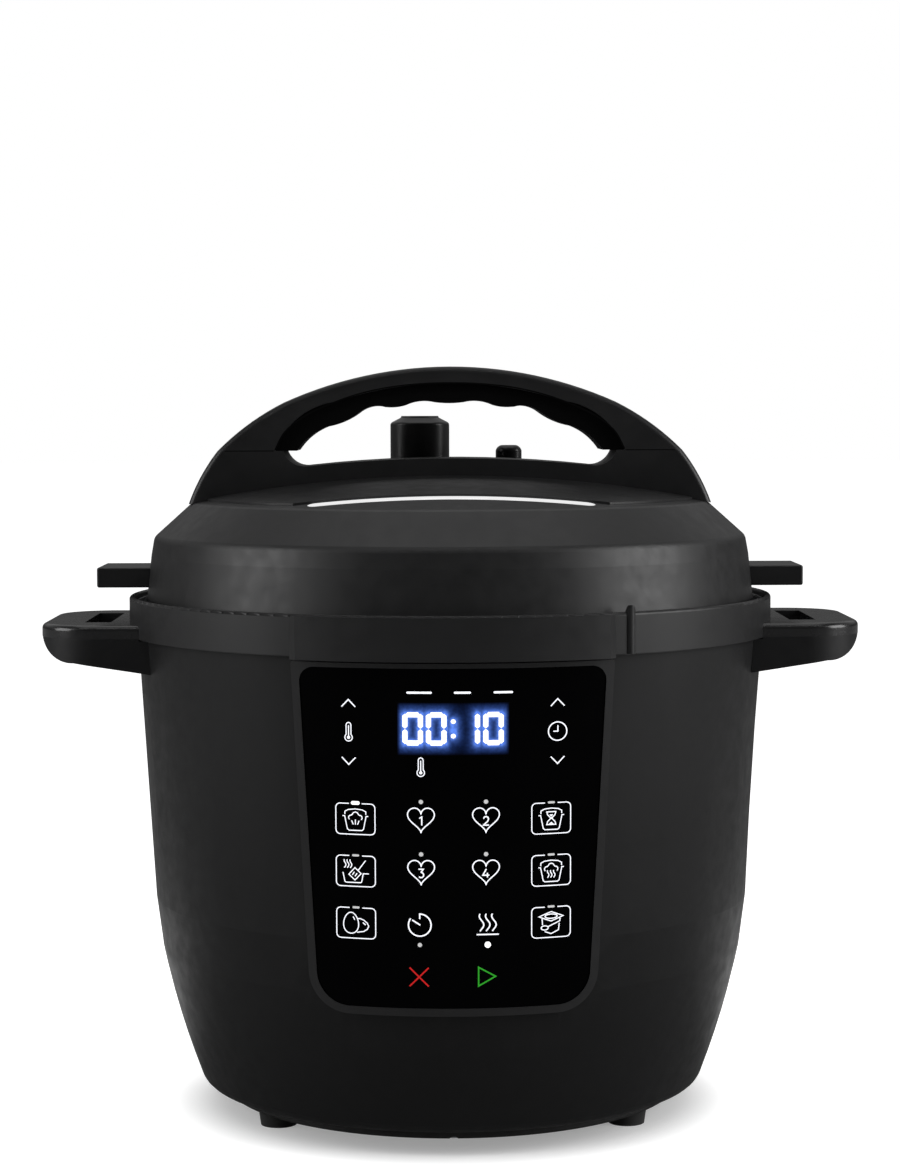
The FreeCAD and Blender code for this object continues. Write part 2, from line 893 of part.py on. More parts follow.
def make_base(d):
    """Base plate, feet, power board and mains inlet."""
    top = d.base_bottom + d.base_thickness
    plate = revolved(
        "base_disc",
        [
            (0, d.base_bottom),
            (d.base_radius - 1, d.base_bottom),
            (d.base_radius, d.base_bottom + 1),
            (d.base_radius, d.housing_bottom),
            (d.base_radius - 3, d.housing_bottom),
            (d.base_radius - 3, top),
            (0, top),
        ],
    )
    vents = [
        box("base_vent", (x - 1.5, y - 13, d.base_bottom - 1), (x + 1.5, y + 13, top + 1))
        for x in range(-28, 29, 8)
        for y in (-62, 62)
    ]
    screws = []
    for turn in range(4):
        x = 92 * round(math.cos(turn * math.pi / 2))
        y = 92 * round(math.sin(turn * math.pi / 2))
        head = cylinder("base_screw_head", 1.9, 1.6, (x, y, d.base_bottom + 0.4))
        shank = cylinder("base_screw_shank", 1.1, 4.4, (x, y, d.base_bottom + 1.6))
        screws.append(join("base_screw", [head, shank]))
    node("base_screws", group("base_screw_set", screws))
    sinks = [
        cylinder("base_screw_sink", 1.9, 3, (screw_x, screw_y, d.base_bottom - 2.6))
        for screw_x, screw_y in ((92, 0), (0, 92), (-92, 0), (0, -92))
    ]
    node("base_plate", cut("base_plate_shape", plate, NODES["base_screws"], *sinks, *vents))
    housing = NODES["housing_shell"]
    housing.Label = "housing_without_holes"
    node("housing_shell", cut("housing_with_holes", housing, NODES["base_screws"]))

    feet = [
        cone("foot", d.foot_radius - 0.8, d.foot_radius, d.base_bottom, (x * d.foot_x, y * d.foot_y, 0))
        for x in (-1, 1)
        for y in (-1, 1)
    ]
    node("base_feet", group("foot_set", feet))

    board_low, board_high = 16, 17.6
    posts = [
        cylinder("board_post", 3, board_low - top, (x, y, top)) for x in (-44, 44) for y in (-30, 30)
    ]
    node("board_standoffs", group("board_posts", posts))
    node("power_board", box("power_board_plate", (-50, -36, board_low), (50, 36, board_high)))
    parts = [
        box("relay", (-40, -28, board_high), (-20, -10, board_high + 10)),
        box("transformer", (-12, -30, board_high), (14, -8, board_high + 11)),
        cylinder("capacitor_a", 6, 11, (30, -20, board_high)),
        cylinder("capacitor_b", 6, 11, (30, -4, board_high)),
        box("terminal_block", (-34, 14, board_high), (18, 24, board_high + 8)),
    ]
    node("board_parts", group("board_part_set", parts))

    mouth = 110
    block = box("inlet_block", (-16, 90, 18), (16, mouth, 40))
    cavity = box("inlet_cavity", (-13.5, mouth - 15, 20.5), (13.5, mouth + 5, 37.5))
    pins = [
        box("inlet_pin", (x - 2, mouth - 27, z - 1), (x + 2, mouth - 6, z + 1))
        for x, z in ((-7, 27), (7, 27), (0, 32))
    ]
    node("inlet_pins", group("inlet_pin_set", pins))
    node("power_inlet", cut("inlet_shape", block, cavity, NODES["inlet_pins"]))

    wires = [
        tube(
            f"mains_wire_{side}",
            [
                (side * 7, mouth - 27.2, 27),
                (side * 7, 72, 27),
                (side * 7 - 2, 60, 31),
                (side * 8 - 4, 44, 35),
                (side * 9 - 5, 28, 35),
                (side * 9 - 5, 19, 32),
                (side * 9 - 5, 19, 25.6),
            ],
            1.4,
        )
        for side in (-1, 1)
    ]
    node("mains_wires", group("wire_set", wires))

    node("lid_switch", box("lid_switch_case", (-7, -119.4, 181), (7, -115.4, 190)))


# --- inner pot -------------------------------------------------------------------------------


def make_inner_pot(d):
    inner = d.pot_radius - d.pot_wall
    base_top = d.plate_top + d.pot_base
    flat = d.pot_radius - d.pot_corner
    node(
        "inner_pot",
        revolved(
            "pot_shape",
            [
                (0, d.plate_top),
                (flat, d.plate_top, d.pot_corner),
                (d.pot_radius, d.plate_top + d.pot_corner),
                (d.pot_radius, d.pot_rim - 4.7),
                (d.pot_radius + 3, d.pot_rim - 1),
                (d.pot_rim_radius, d.pot_rim - 1),
                (d.pot_rim_radius, d.pot_rim),
                (d.pot_radius + 2.6, d.pot_rim),
                (inner, d.pot_rim - 4.2),
                (inner, base_top + d.pot_corner - d.pot_wall, -(d.pot_corner - d.pot_wall)),
                (flat, base_top),
                (0, base_top),
            ],
        ),
    )


def make_sealing_ring(d):
    low, high = d.pot_rim, d.pot_rim + 10.8
    node(
        "sealing_ring",
        revolved(
            "seal_shape",
            [
                (109.4, low),
                (113.2, low),
                (114.4, low + 1.8),
                (114.4, high),
                (108.0, high),
                (108.0, high - 2.6),
                (111.6, high - 2.6),
                (111.6, low + 2.8),
                (109.4, low + 2.8),
            ],
        ),
    )


# --- lid -------------------------------------------------------------------------------------


def make_lid_shells(d):
    """Plastic cover, bright strip, fins and the steel pressure lid."""
    under = d.dome_radius - d.lid_wall
    edge_height = d.lid_apex - d.dome_radius + root(
        d.dome_radius * d.dome_radius - d.lid_edge_radius * d.lid_edge_radius
    )
    inner_edge = d.lid_edge_radius - 0.9
    inner_edge_height = d.lid_apex - d.dome_radius + root(under * under - inner_edge * inner_edge)
    cover = revolved(
        "cover_shape",
        [
            (0, d.lid_apex - d.lid_wall, -under),
            (inner_edge, inner_edge_height),
            (d.shoulder_radius - 2.1, d.shoulder_height - 1.2),
            (d.shoulder_radius - 1.1, d.shoulder_height - 4.5),
            (d.lid_side_radius - 0.8, 217),
            (d.lid_side_radius - 0.8, d.lid_bottom),
            (d.lid_bottom_radius, d.lid_bottom),
            (d.lid_side_radius, d.lid_side_height),
            (d.shoulder_radius, d.shoulder_height),
            (d.lid_edge_radius, edge_height, d.dome_radius),
            (0, d.lid_apex),
        ],
    )
    round_edges(cover, d.shoulder_round, ring_edge((d.shoulder_radius, d.shoulder_height)))
    round_edges(cover, d.lid_edge_round, ring_edge((d.lid_edge_radius, edge_height)))
    round_edges(cover, d.lid_rim_round, ring_edge((d.lid_bottom_radius, d.lid_bottom)))

    half, reach = d.strip_width / 2, d.strip_half - d.strip_width / 2
    slot = padded(
        "strip_slot",
        "XY_Plane",
        [
            (-reach, d.strip_y - half),
            (reach, d.strip_y - half, half + 0.001),
            (reach, d.strip_y + half),
            (-reach, d.strip_y + half, half + 0.001),
        ],
        30,
        offset=235,
    )
    strip_skin = cut(
        "strip_skin",
        ball("strip_face", d.dome_radius - 0.1, d.lid_apex - 0.1),
        ball("strip_back", under, d.lid_apex - d.lid_wall),
    )
    node("lid_trim_strip", overlap("strip_shape", strip_skin, slot))

    holes = valve_holes(d, "cover", 225)
    screws = lid_screws()
    node("lid_cover", cut("cover_cut", cover, slot, screws, *holes))

    fin_root = 110
    fin_blank = padded(
        "fin_blank",
        "XY_Plane",
        [
            (fin_root, -d.fin_half),
            (d.fin_tip, -d.fin_half),
            (d.fin_tip, d.fin_half),
            (fin_root, d.fin_half),
        ],
        d.fin_top - d.fin_bottom,
        offset=d.fin_bottom,
    )
    round_edges(fin_blank, d.fin_round, lambda edge: edge.CenterOfMass.x > fin_root + 1)
    cover_core = cone(
        "cover_core",
        d.lid_bottom_radius,
        d.lid_side_radius,
        d.lid_side_height - d.lid_bottom,
        (0, 0, d.lid_bottom),
    )
    right_fin = cut("right_fin_shape", fin_blank, cover_core)
    node("right_fin", right_fin)
    node("left_fin", mirrored("left_fin_shape", right_fin))

    make_steel_lid(d)


def valve_holes(d, prefix, bottom):
    """Upright holes for the steam valve, the release button and the float valve."""
    spots = [
        (d.valve_x, d.valve_y, d.valve_radius + 0.7),
        (d.button_x, d.button_y, d.button_radius + 0.4),
        (d.float_x, d.float_y, 4.0),
    ]
    return [
        cylinder(f"{prefix}_hole", radius, 50, (x, y, bottom)) for x, y, radius in spots
    ]


def lid_screws():
    screws = []
    for x, y in LID_SCREW_PLACES:
        head = cylinder("lid_screw_head", 3.2, 2.2, (x, y, 245.2))
        shank = cylinder("lid_screw_shank", 1.5, 14, (x, y, 246))
        screws.append(join("lid_screw", [head, shank]))
    return node("lid_screws", group("lid_screw_set", screws))


def make_steel_lid(d):
    wall = d.steel_lid_wall
    shell = revolved(
        "steel_lid_shape",
        [
            (0, d.steel_lid_top - wall),
            (d.steel_lid_flat - 0.4, d.steel_lid_top - wall),
            (d.steel_lid_flange_start - 0.4, d.steel_lid_flange - wall),
            (d.steel_lid_radius - wall, d.steel_lid_flange - wall),
            (d.steel_lid_radius - wall, d.steel_lid_bottom),
            (d.steel_lid_radius, d.steel_lid_bottom),
            (d.steel_lid_radius, d.steel_lid_flange),
            (d.steel_lid_flange_start, d.steel_lid_flange),
            (d.steel_lid_flat, d.steel_lid_top),
            (0, d.steel_lid_top),
        ],
    )
    add_tabs(shell, d.lid_tab_radius, d.steel_lid_radius - 0.4, d.steel_lid_bottom, 2)
    holes = [
        cylinder("pipe_hole", d.pipe_radius, 10, (d.valve_x, d.valve_y, d.steel_lid_top - 5)),
        cylinder("float_hole", 3.3, 10, (d.float_x, d.float_y, d.steel_lid_top - 5)),
        cylinder("lock_hole", 2, 10, (0, d.lock_circle, d.steel_lid_flange - 5)),
    ]
    node("pressure_lid", cut("steel_lid_cut", shell, *holes))

    rack_height = d.pot_rim + 5.6
    rack = [torus("rack_wire", 109.2, 1.1, rack_height)]
    for turn in (45, 135, 225, 315):
        for end, top in ((108.9, 0.6), (106.8, 7.4)):
            low = (105.2, -1.2, rack_height - 0.6)
            rack.append(turned_box("rack_arm", low, (end, 1.2, rack_height + top), turn))
    node("seal_rack", join("rack_shape", rack))


def make_lid_handle(d):
    """Handle base on its disc, the arch, and the finger grip under the arch."""
    screws = NODES["lid_screws"]
    depth = 2 * d.arch_half_depth
    parting, inner_x = d.parting_height, d.opening_half - 3.2
    bar = padded(
        "handle_bar",
        "XZ_Plane",
        [
            (-d.arch_foot_x, 240),
            (d.arch_foot_x, 240),
            (d.arch_foot_x, d.arch_foot_z, FOOT_BEND),
            (d.parting_x, parting),
            (inner_x, parting, -9),
            (57, d.bar_top - 2.8, 541),
            (-57, d.bar_top - 2.8, -9),
            (-inner_x, parting),
            (-d.parting_x, parting, FOOT_BEND),
            (-d.arch_foot_x, d.arch_foot_z),
        ],
        depth,
        midplane=True,
    )
    round_edges(bar, 2.4, outer_rim(245, 268))
    disc = cylinder("disc_outline", d.base_disc_radius, 60, (0, 0, 220))
    front = d.strip_y + d.strip_width / 2
    back_room = box("disc_front", (-150, -150, 200), (150, front, 300))
    disc_face = ball("disc_face", d.dome_radius + d.base_disc_thickness,
                     d.lid_apex + d.base_disc_thickness)
    plate = overlap("disc_plate", disc_face, cut("disc_trimmed", disc, back_room))
    dome = ball("lid_dome", d.dome_radius, d.lid_apex)
    foot_trim = cut(
        "foot_trim",
        cylinder("foot_far", 200, 60, (0, 0, 200)),
        cylinder("foot_near", d.lid_edge_radius + 2, 60, (0, 0, 200)),
    )
    holes = valve_holes(d, "base", 225)
    solid = join("handle_base_solid", [bar, plate])
    node("handle_base", cut("handle_base_cut", solid, dome, foot_trim, screws, *holes))

    crown_inner = d.arch_top - d.arch_plate
    arch = padded(
        "arch_shape",
        "XZ_Plane",
        [
            (d.opening_half, parting),
            (d.parting_x, parting, d.arch_leg_bend),
            (d.arch_shoulder_x, d.arch_shoulder_z, d.arch_crown_bend),
            (-d.arch_shoulder_x, d.arch_shoulder_z, d.arch_leg_bend),
            (-d.parting_x, parting),
            (-d.opening_half, parting, -30),
            (-46, crown_inner - 7.4, -148),
            (46, crown_inner - 7.4, -30),
        ],
        depth,
        midplane=True,
    )
    round_edges(arch, 2.4, outer_rim(268, 310))
    node("handle_arch", arch)

    half_wave = [
        (62, 0, 25), (50, 9.6, -31), (37, 15.2, 12), (26, 17.5, -20), (18, 18.3, 18), (6, 19.5, -45)
    ]
    right = [(x, parting + up, bend) for x, up, bend in half_wave]
    left = []
    bends = [bend for x, up, bend in half_wave]
    for index in range(len(half_wave) - 1, -1, -1):
        x, up = half_wave[index][:2]
        if index > 0:
            left.append((-x, parting + up, bends[index - 1]))
        else:
            left.append((-x, parting + up))
    outline = right + left
    top_side = [
        (-d.opening_half, parting, -30),
        (-46, crown_inner - 7.4, -148),
        (46, crown_inner - 7.4, -30),
        (d.opening_half, parting),
    ]
    grip = padded("grip_shape", "XZ_Plane", reverse_outline(outline + top_side),
                  2 * d.insert_half_depth, midplane=True)
    node("handle_grip_insert", grip)


def reverse_outline(points):
    """The same outline drawn the other way round, with each arc turned to match."""
    count = len(points)
    turned = []
    for index in range(count - 1, -1, -1):
        previous = points[(index - 1) % count]
        if len(previous) == 3:
            turned.append((points[index][0], points[index][1], -as_dim(previous[2])))
        else:
            turned.append((points[index][0], points[index][1]))
    return turned


def outer_rim(low, high):
    """Picks the front and back edges along the outside of the handle, between two heights."""
    depth = SIZES["arch_half_depth"]
    outside_bends = (FOOT_BEND, SIZES["arch_leg_bend"], SIZES["arch_crown_bend"])

    def chosen(edge):
        curve = curve_of(edge)
        if not isinstance(curve, Part.Circle) or abs(abs(edge.CenterOfMass.y) - depth) > 0.01:
            return False
        outside = any(abs(curve.Radius - bend) < 0.01 for bend in outside_bends)
        return outside and low < edge.CenterOfMass.z < high

    return chosen


def make_steam_release(d):
    """Steam pipe, weighted valve, and the button and lever that lift it."""
    x, y = d.valve_x, d.valve_y
    under = d.steel_lid_top - d.steel_lid_wall
    pipe = join(
        "pipe_body",
        [
            cylinder("pipe_stem", d.pipe_radius, d.pipe_top - under + 6, (x, y, under - 6)),
            cylinder("pipe_nut", 8, 3, (x, y, under - 3)),
            cylinder("pipe_washer", 6.5, 1.2, (x, y, d.steel_lid_top)),
        ],
    )
    bore = cylinder("pipe_bore", 1.6, 60, (x, y, under - 10))
    node("steam_pipe", cut("pipe_shape", pipe, bore))

    shield_top = under - 3
    shield = cylinder("shield_outside", 13, 15, (x, y, shield_top - 15))
    hollow = cylinder("shield_inside", 12.2, 14.2, (x, y, shield_top - 14.2))
    rim = cylinder("shield_bore", d.pipe_radius, 40, (x, y, shield_top - 10))
    slit_low, slit_high = (-15, -1.2, shield_top - 12), (15, 1.2, shield_top - 4)
    slits = [
        turned_box("shield_slit", slit_low, slit_high, turn, (x, y)) for turn in (0, 45, 90, 135)
    ]
    cup = cut("shield_cup", shield, hollow)
    plug = cylinder("shield_hub", 12.6, 1.2, (x, y, shield_top - 1.2))
    node("steam_shield", cut("shield_shape", join("shield_body", [cup, plug]), rim, *slits))

    lever_top = d.lever_height + 1.25
    lifter_bottom = lever_top + 0.6
    lifter = cut(
        "lifter_shape",
        cylinder("lifter_disc", 11, 2, (x, y, lifter_bottom)),
        cylinder("lifter_bore", d.pipe_radius + 0.5, 6, (x, y, lifter_bottom - 2)),
    )
    node("valve_lifter", lifter)

    cap_bottom = lifter_bottom + 2.3
    cap = revolved(
        "valve_cap_shape",
        [
            (9.5, cap_bottom),
            (d.valve_radius, cap_bottom),
            (d.valve_radius, d.valve_top - 3.8, 1.7),
            (d.valve_radius - 1.1, d.valve_top - 2.4),
            (8.1, d.valve_top - 0.7),
            (7.8, d.valve_top),
            (0, d.valve_top),
            (0, d.valve_top - 6.4),
            (9.5, d.valve_top - 6.4),
        ],
    )
    place(cap, (x, y, 0))
    node("steam_valve", cap)
    weight = cut(
        "weight_shape",
        cylinder("weight_body", 9.5, 12.4, (x, y, d.valve_top - 18.8)),
        cylinder("weight_pocket", d.pipe_radius + 0.6, 20, (x, y, d.pipe_top - 19.6)),
    )
    node("valve_weight", weight)

    make_release_lever(d, lever_top)
    make_button(d, lever_top)


def make_release_lever(d, lever_top):
    x, y = d.valve_x, d.valve_y
    bottom = lever_top - 2.5
    arm = box("lever_arm", (x - 1.2, d.lever_y - 4, bottom), (d.button_x + 3.2, d.lever_y + 4, lever_top))
    fork = box("lever_fork", (x - 1.2, y - 8.4, bottom), (x + 8, y + 8.4, lever_top))
    pipe_gap = cylinder("lever_pipe_gap", d.pipe_radius + 0.9, 8, (x, y, bottom - 2))
    pipe_way = box(
        "lever_pipe_way",
        (x - 10, y - d.pipe_radius - 0.9, bottom - 2),
        (x, y + d.pipe_radius + 0.9, bottom + 6),
    )
    hub = cylinder("lever_hub", 2.8, 8, (d.lever_x, d.lever_y - 4, d.lever_height), axis="y")
    pin_start = (d.lever_x, d.lever_y - 10, d.lever_height)
    pin_hole = cylinder("lever_pin_hole", 1.25, 20, pin_start, axis="y")
    lever = join("lever_body", [arm, fork, hub])
    node("release_lever", cut("lever_shape", lever, pipe_gap, pipe_way, pin_hole))

    plate_bottom = lever_top + 2.0
    front, back = d.lever_y - 10.2, d.lever_y + 7.4
    plate = box("bracket_plate", (1, front, plate_bottom), (34, back, plate_bottom + 1.4))
    ears = []
    for side, low in (("front", d.lever_y - 6.2), ("back", d.lever_y + 5)):
        ears.append(
            box(f"bracket_ear_{side}", (1, low, d.lever_height - 3), (5, low + 1.4, plate_bottom + 1))
        )
    foot_spans = [(30, 34, front, front + 4), (30, 34, back - 4, back), (1, 5, front, front + 2.4)]
    feet = [
        box("bracket_foot", (left, near, d.steel_lid_top), (right, far, plate_bottom + 1))
        for left, right, near, far in foot_spans
    ]
    stem_hole = cylinder("bracket_stem_hole", 2.9, 8, (d.button_x, d.button_y, plate_bottom - 3))
    pin = cylinder("lever_pin", 1.2, 13.4, (d.lever_x, d.lever_y - 6.7, d.lever_height), axis="y")
    node("lever_pin", pin)
    bracket = join("bracket_body", [plate] + ears + feet)
    node("lever_bracket", cut("bracket_shape", bracket, stem_hole, NODES["lever_pin"]))


def make_button(d, lever_top):
    stem_bottom = lever_top + 0.8
    shoulder = d.button_top - 7
    skirt = d.lid_apex - 4.8
    button = revolved(
        "button_shape",
        [
            (0, stem_bottom),
            (2.4, stem_bottom),
            (2.4, shoulder),
            (4.5, shoulder),
            (4.5, skirt),
            (d.button_radius, skirt),
            (d.button_radius, d.button_top - 2.4, 3.2),
            (d.button_radius - 2.4, d.button_top),
            (0, d.button_top),
        ],
    )
    place(button, (d.button_x, d.button_y, 0))
    node("release_button", button)
    low = as_dim(lever_top).value + 3.5
    high = as_dim(shoulder).value - 0.1
    spot = (SIZES["button_x"], SIZES["button_y"])
    node("button_spring", coil("button_coil", 3.4, 0.4, low, high, 6, spot))


def make_float_valve(d):
    x, y = d.float_x, d.float_y
    under = d.steel_lid_top - d.steel_lid_wall
    pin = revolved(
        "float_shape",
        [
            (0, under - 12),
            (2.2, under - 12),
            (2.2, under - 8),
            (2.9, under - 8),
            (2.9, d.steel_lid_top + 10),
            (0, d.steel_lid_top + 10),
        ],
    )
    place(pin, (x, y, 0))
    node("float_valve", pin)
    seal = cut(
        "float_seal_shape",
        cylinder("float_seal_cap", 5.4, 4.6, (x, y, under - 11.6)),
        cylinder("float_seal_stem", 2.2, 3.6, (x, y, under - 11.6)),
        cylinder("float_seal_pin", 2.9, 6, (x, y, under - 8)),
    )
    node("float_seal", seal)


def make_lid_lock(d):
    """Spring pin that rides on the bayonet ring, and the magnet that tells the base it is shut."""
    y = d.lock_circle
    top = d.steel_lid_flange
    pin = join(
        "lock_pin_body",
        [
            cylinder("lock_pin_stem", 1.6, top + 1.2 - d.ring_top - 0.4, (0, y, d.ring_top + 0.4)),
            cylinder("lock_pin_head", 2.2, 1.2, (0, y, top + 0.2)),
        ],
    )
    node("lock_pin", pin)
    cup = cut(
        "lock_cup_shape",
        cylinder("lock_cup", 3.2, 8, (0, y, top)),
        cylinder("lock_cup_room", 2.5, 7.2, (0, y, top)),
    )
    node("lock_guide", cup)
    low = SIZES["steel_lid_flange"] + 1.5
    node("lock_spring", coil("lock_coil", 1.7, 0.3, low, low + 5.5, 6, (0, SIZES["lock_circle"])))
    node("lid_magnet", box("magnet_block", (-6, -113.6, top), (6, -110, top + 3)))


# --- build, check, write ---------------------------------------------------------------------


def build():
    d = Sheet(SIZES)
    doc.recompute()
    make_panel(d)
    make_housing(d)
    make_collar(d)
    make_side_handles(d)
    liner = make_liner(d)
    make_heater(d, liner)
    make_base(d)
    make_inner_pot(d)
    make_sealing_ring(d)
    make_lid_shells(d)
    make_lid_handle(d)
    make_steam_release(d)
    make_float_valve(d)
    make_lid_lock(d)
    doc.recompute()


def check_and_write():
    for thing in doc.Objects:
        if "Invalid" in thing.State or "Error" in thing.State:
            raise ValueError(f"{thing.Name} failed: {thing.State}")
    os.makedirs("parts", exist_ok=True)
    for name, thing in NODES.items():
        shape = thing.Shape
        if shape.isNull() or not shape.isValid() or not shape.Solids:
            raise ValueError(f"{name} has no valid solid")
        shape.exportStep(f"parts/{name}.step")
        print(f"{name}: {len(shape.Solids)} solids, {shape.Volume / 1000:.2f} cm3")


build()
check_and_write()
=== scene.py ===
import json
import math

import bmesh
import bpy
from mathutils import Matrix, Vector


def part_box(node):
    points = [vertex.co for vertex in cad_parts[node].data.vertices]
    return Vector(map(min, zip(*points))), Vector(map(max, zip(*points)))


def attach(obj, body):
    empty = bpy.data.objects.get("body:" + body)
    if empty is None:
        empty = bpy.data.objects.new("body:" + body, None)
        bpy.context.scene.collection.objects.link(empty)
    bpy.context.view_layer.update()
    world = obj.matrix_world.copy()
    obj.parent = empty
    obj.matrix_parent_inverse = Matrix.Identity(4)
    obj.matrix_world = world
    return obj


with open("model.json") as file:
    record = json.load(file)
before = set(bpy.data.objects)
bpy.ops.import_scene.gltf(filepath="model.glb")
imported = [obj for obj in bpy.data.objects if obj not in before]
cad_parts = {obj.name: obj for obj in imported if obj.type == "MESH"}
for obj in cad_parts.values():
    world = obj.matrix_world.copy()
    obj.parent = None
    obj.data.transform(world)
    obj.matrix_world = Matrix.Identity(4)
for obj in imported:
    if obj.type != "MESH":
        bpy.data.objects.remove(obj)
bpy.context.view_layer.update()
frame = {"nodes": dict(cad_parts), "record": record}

NODES = frame["nodes"]
MM = 0.001
SLOT_OF = {part["node"]: part["material_slot"] for part in frame["record"]["subparts"]}


# ---------------------------------------------------------------- camera, lights and stage
# Lengths here are metres and angles are degrees.

CAMERA_DISTANCE = 1.120
CAMERA_HEIGHT = 0.284
CAMERA_TURN = -0.46
CAMERA_PITCH = -3.73
CAMERA_ROLL = -0.19
CAMERA_LENS = 83.27


def make_camera():
    data = bpy.data.cameras.new("camera")
    data.lens = CAMERA_LENS
    data.clip_start = 0.05
    camera = bpy.data.objects.new("camera", data)
    bpy.context.scene.collection.objects.link(camera)
    turn = Matrix.Rotation(math.radians(CAMERA_TURN), 4, "Z")
    stand = Matrix.Translation((0, -CAMERA_DISTANCE, CAMERA_HEIGHT))
    tilt = Matrix.Rotation(math.radians(90 + CAMERA_PITCH), 4, "X")
    roll = Matrix.Rotation(math.radians(CAMERA_ROLL), 4, "Z")
    camera.matrix_world = turn @ stand @ tilt @ roll
    bpy.context.scene.camera = camera


def softbox(name, place, aim, size, power):
    data = bpy.data.lights.new(name, "AREA")
    data.shape = "RECTANGLE"
    data.size, data.size_y = size
    data.energy = power
    light = bpy.data.objects.new(name, data)
    bpy.context.scene.collection.objects.link(light)
    light.location = place
    light.rotation_mode = "QUATERNION"
    light.rotation_quaternion = (Vector(aim) - Vector(place)).to_track_quat("-Z", "Y")


def ramp_between(tree, value, start, end, low, high, shape):
    """Turns a value from `start` to `end` into one from `low` to `high`."""
    ramp = tree.nodes.new("ShaderNodeMapRange")
    ramp.interpolation_type = shape
    ramp.inputs["From Min"].default_value = start
    ramp.inputs["From Max"].default_value = end
    ramp.inputs["To Min"].default_value = low
    ramp.inputs["To Max"].default_value = high
    tree.links.new(value, ramp.inputs["Value"])
    return ramp.outputs["Result"]


def smooth_ramp(tree, value, start, end, low, high):
    return ramp_between(tree, value, start, end, low, high, "SMOOTHSTEP")


def times(tree, first, second):
    product = tree.nodes.new("ShaderNodeMath")
    product.operation = "MULTIPLY"
    tree.links.new(first, product.inputs[0])
    tree.links.new(second, product.inputs[1])
    return product.outputs[0]


def backdrop_glow(tree):
    """Strength of the light from all round: weak in front and near the horizon, stronger high up behind."""
    place = tree.nodes.new("ShaderNodeTexCoord")
    parts = tree.nodes.new("ShaderNodeSeparateXYZ")
    tree.links.new(place.outputs["Generated"], parts.inputs[0])
    behind = smooth_ramp(tree, parts.outputs["Y"], 0.0, 1.0, 0.06, 0.5)
    high = smooth_ramp(tree, parts.outputs["Z"], 0.10, 0.45, 0.12, 0.9)
    return times(tree, behind, high)


def camera_or_light(tree, lighting, seen, output):
    """One shader for what the camera sees directly, and another for the light that reaches the object."""
    rays = tree.nodes.new("ShaderNodeLightPath")
    mix = tree.nodes.new("ShaderNodeMixShader")
    tree.links.new(rays.outputs["Is Camera Ray"], mix.inputs["Fac"])
    tree.links.new(lighting, mix.inputs[1])
    tree.links.new(seen, mix.inputs[2])
    tree.links.new(mix.outputs[0], output)


def make_studio():
    bpy.context.scene.view_settings.view_transform = "Standard"
    world = bpy.data.worlds.new("studio")
    bpy.context.scene.world = world
    world.use_nodes = True
    tree = world.node_tree
    tree.nodes.clear()
    output = tree.nodes.new("ShaderNodeOutputWorld")
    seen = tree.nodes.new("ShaderNodeBackground")
    seen.inputs["Color"].default_value = (1, 1, 1, 1)
    fill = tree.nodes.new("ShaderNodeBackground")
    fill.inputs["Color"].default_value = (1, 1, 1, 1)
    tree.links.new(backdrop_glow(tree), fill.inputs["Strength"])
    camera_or_light(tree, fill.outputs[0], seen.outputs[0], output.inputs["Surface"])
    softbox("left_softbox", (-1.55, -0.42, 0.70), (0, 0, 0.20), (1.0, 1.0), 11)
    softbox("right_softbox", (1.55, -0.42, 0.70), (0, 0, 0.20), (1.0, 1.0), 16)
    softbox("top_softbox", (0, 0.25, 1.7), (0, 0, 0.2), (1.5, 1.2), 4.5)
    softbox("front_edge_strip", (0, -0.95, 1.65), (0, 0, 0.2), (2.2, 0.10), 3)


FLOOR_RADIUS = 14
# Distances from the object's axis, in metres, over which the floor's painted shadow fades out.
SHADOW_START, SHADOW_END = 0.088, 0.128
NEAR_FLOOR, FAR_FLOOR = 0.18, 0.55


def make_floor():
    """Pale paper: white to the camera, with a painted shadow close under the object, and weakly lit where
    it lights it.
    """
    mesh = bpy.data.meshes.new("floor")
    shape = bmesh.new()
    bmesh.ops.create_circle(shape, cap_ends=True, radius=FLOOR_RADIUS, segments=96)
    shape.to_mesh(mesh)
    shape.free()
    floor = bpy.data.objects.new("floor", mesh)
    bpy.context.scene.collection.objects.link(floor)
    surface = bpy.data.materials.new("studio_floor")
    surface.use_nodes = True
    tree = surface.node_tree
    tree.nodes.clear()
    output = tree.nodes.new("ShaderNodeOutputMaterial")
    place = tree.nodes.new("ShaderNodeTexCoord")
    away = tree.nodes.new("ShaderNodeVectorMath")
    away.operation = "LENGTH"
    parts = tree.nodes.new("ShaderNodeSeparateXYZ")
    tree.links.new(place.outputs["Object"], away.inputs[0])
    tree.links.new(place.outputs["Object"], parts.inputs[0])
    # The floor as the camera sees it glows less near the object: a painted contact shadow.
    painted_contact_shadow = smooth_ramp(tree, away.outputs["Value"], SHADOW_START, SHADOW_END, 0.30, 1.0)
    paper = lit_floor(tree, 0.8, painted_contact_shadow)
    behind = smooth_ramp(tree, parts.outputs["Y"], 0.0, 0.15, 0.02, 1.0)
    near = smooth_ramp(tree, away.outputs["Value"], NEAR_FLOOR, FAR_FLOOR, 1.1, 0.1)
    fill = lit_floor(tree, 0.4, times(tree, behind, near))
    camera_or_light(tree, fill, paper, output.inputs["Surface"])
    mesh.materials.append(surface)


def lit_floor(tree, tone, glow):
    """Matt paper that also gives off a little light, as a floor that is lit from underneath does; near the
    object its glow can be lowered to paint a shadow.
    """
    matt = tree.nodes.new("ShaderNodeBsdfDiffuse")
    matt.inputs["Color"].default_value = (tone, tone, tone, 1)
    light = tree.nodes.new("ShaderNodeEmission")
    tree.links.new(glow, light.inputs["Strength"])
    both = tree.nodes.new("ShaderNodeAddShader")
    tree.links.new(matt.outputs[0], both.inputs[0])
    tree.links.new(light.outputs[0], both.inputs[1])
    return both.outputs[0]


# ---------------------------------------------------------------- materials

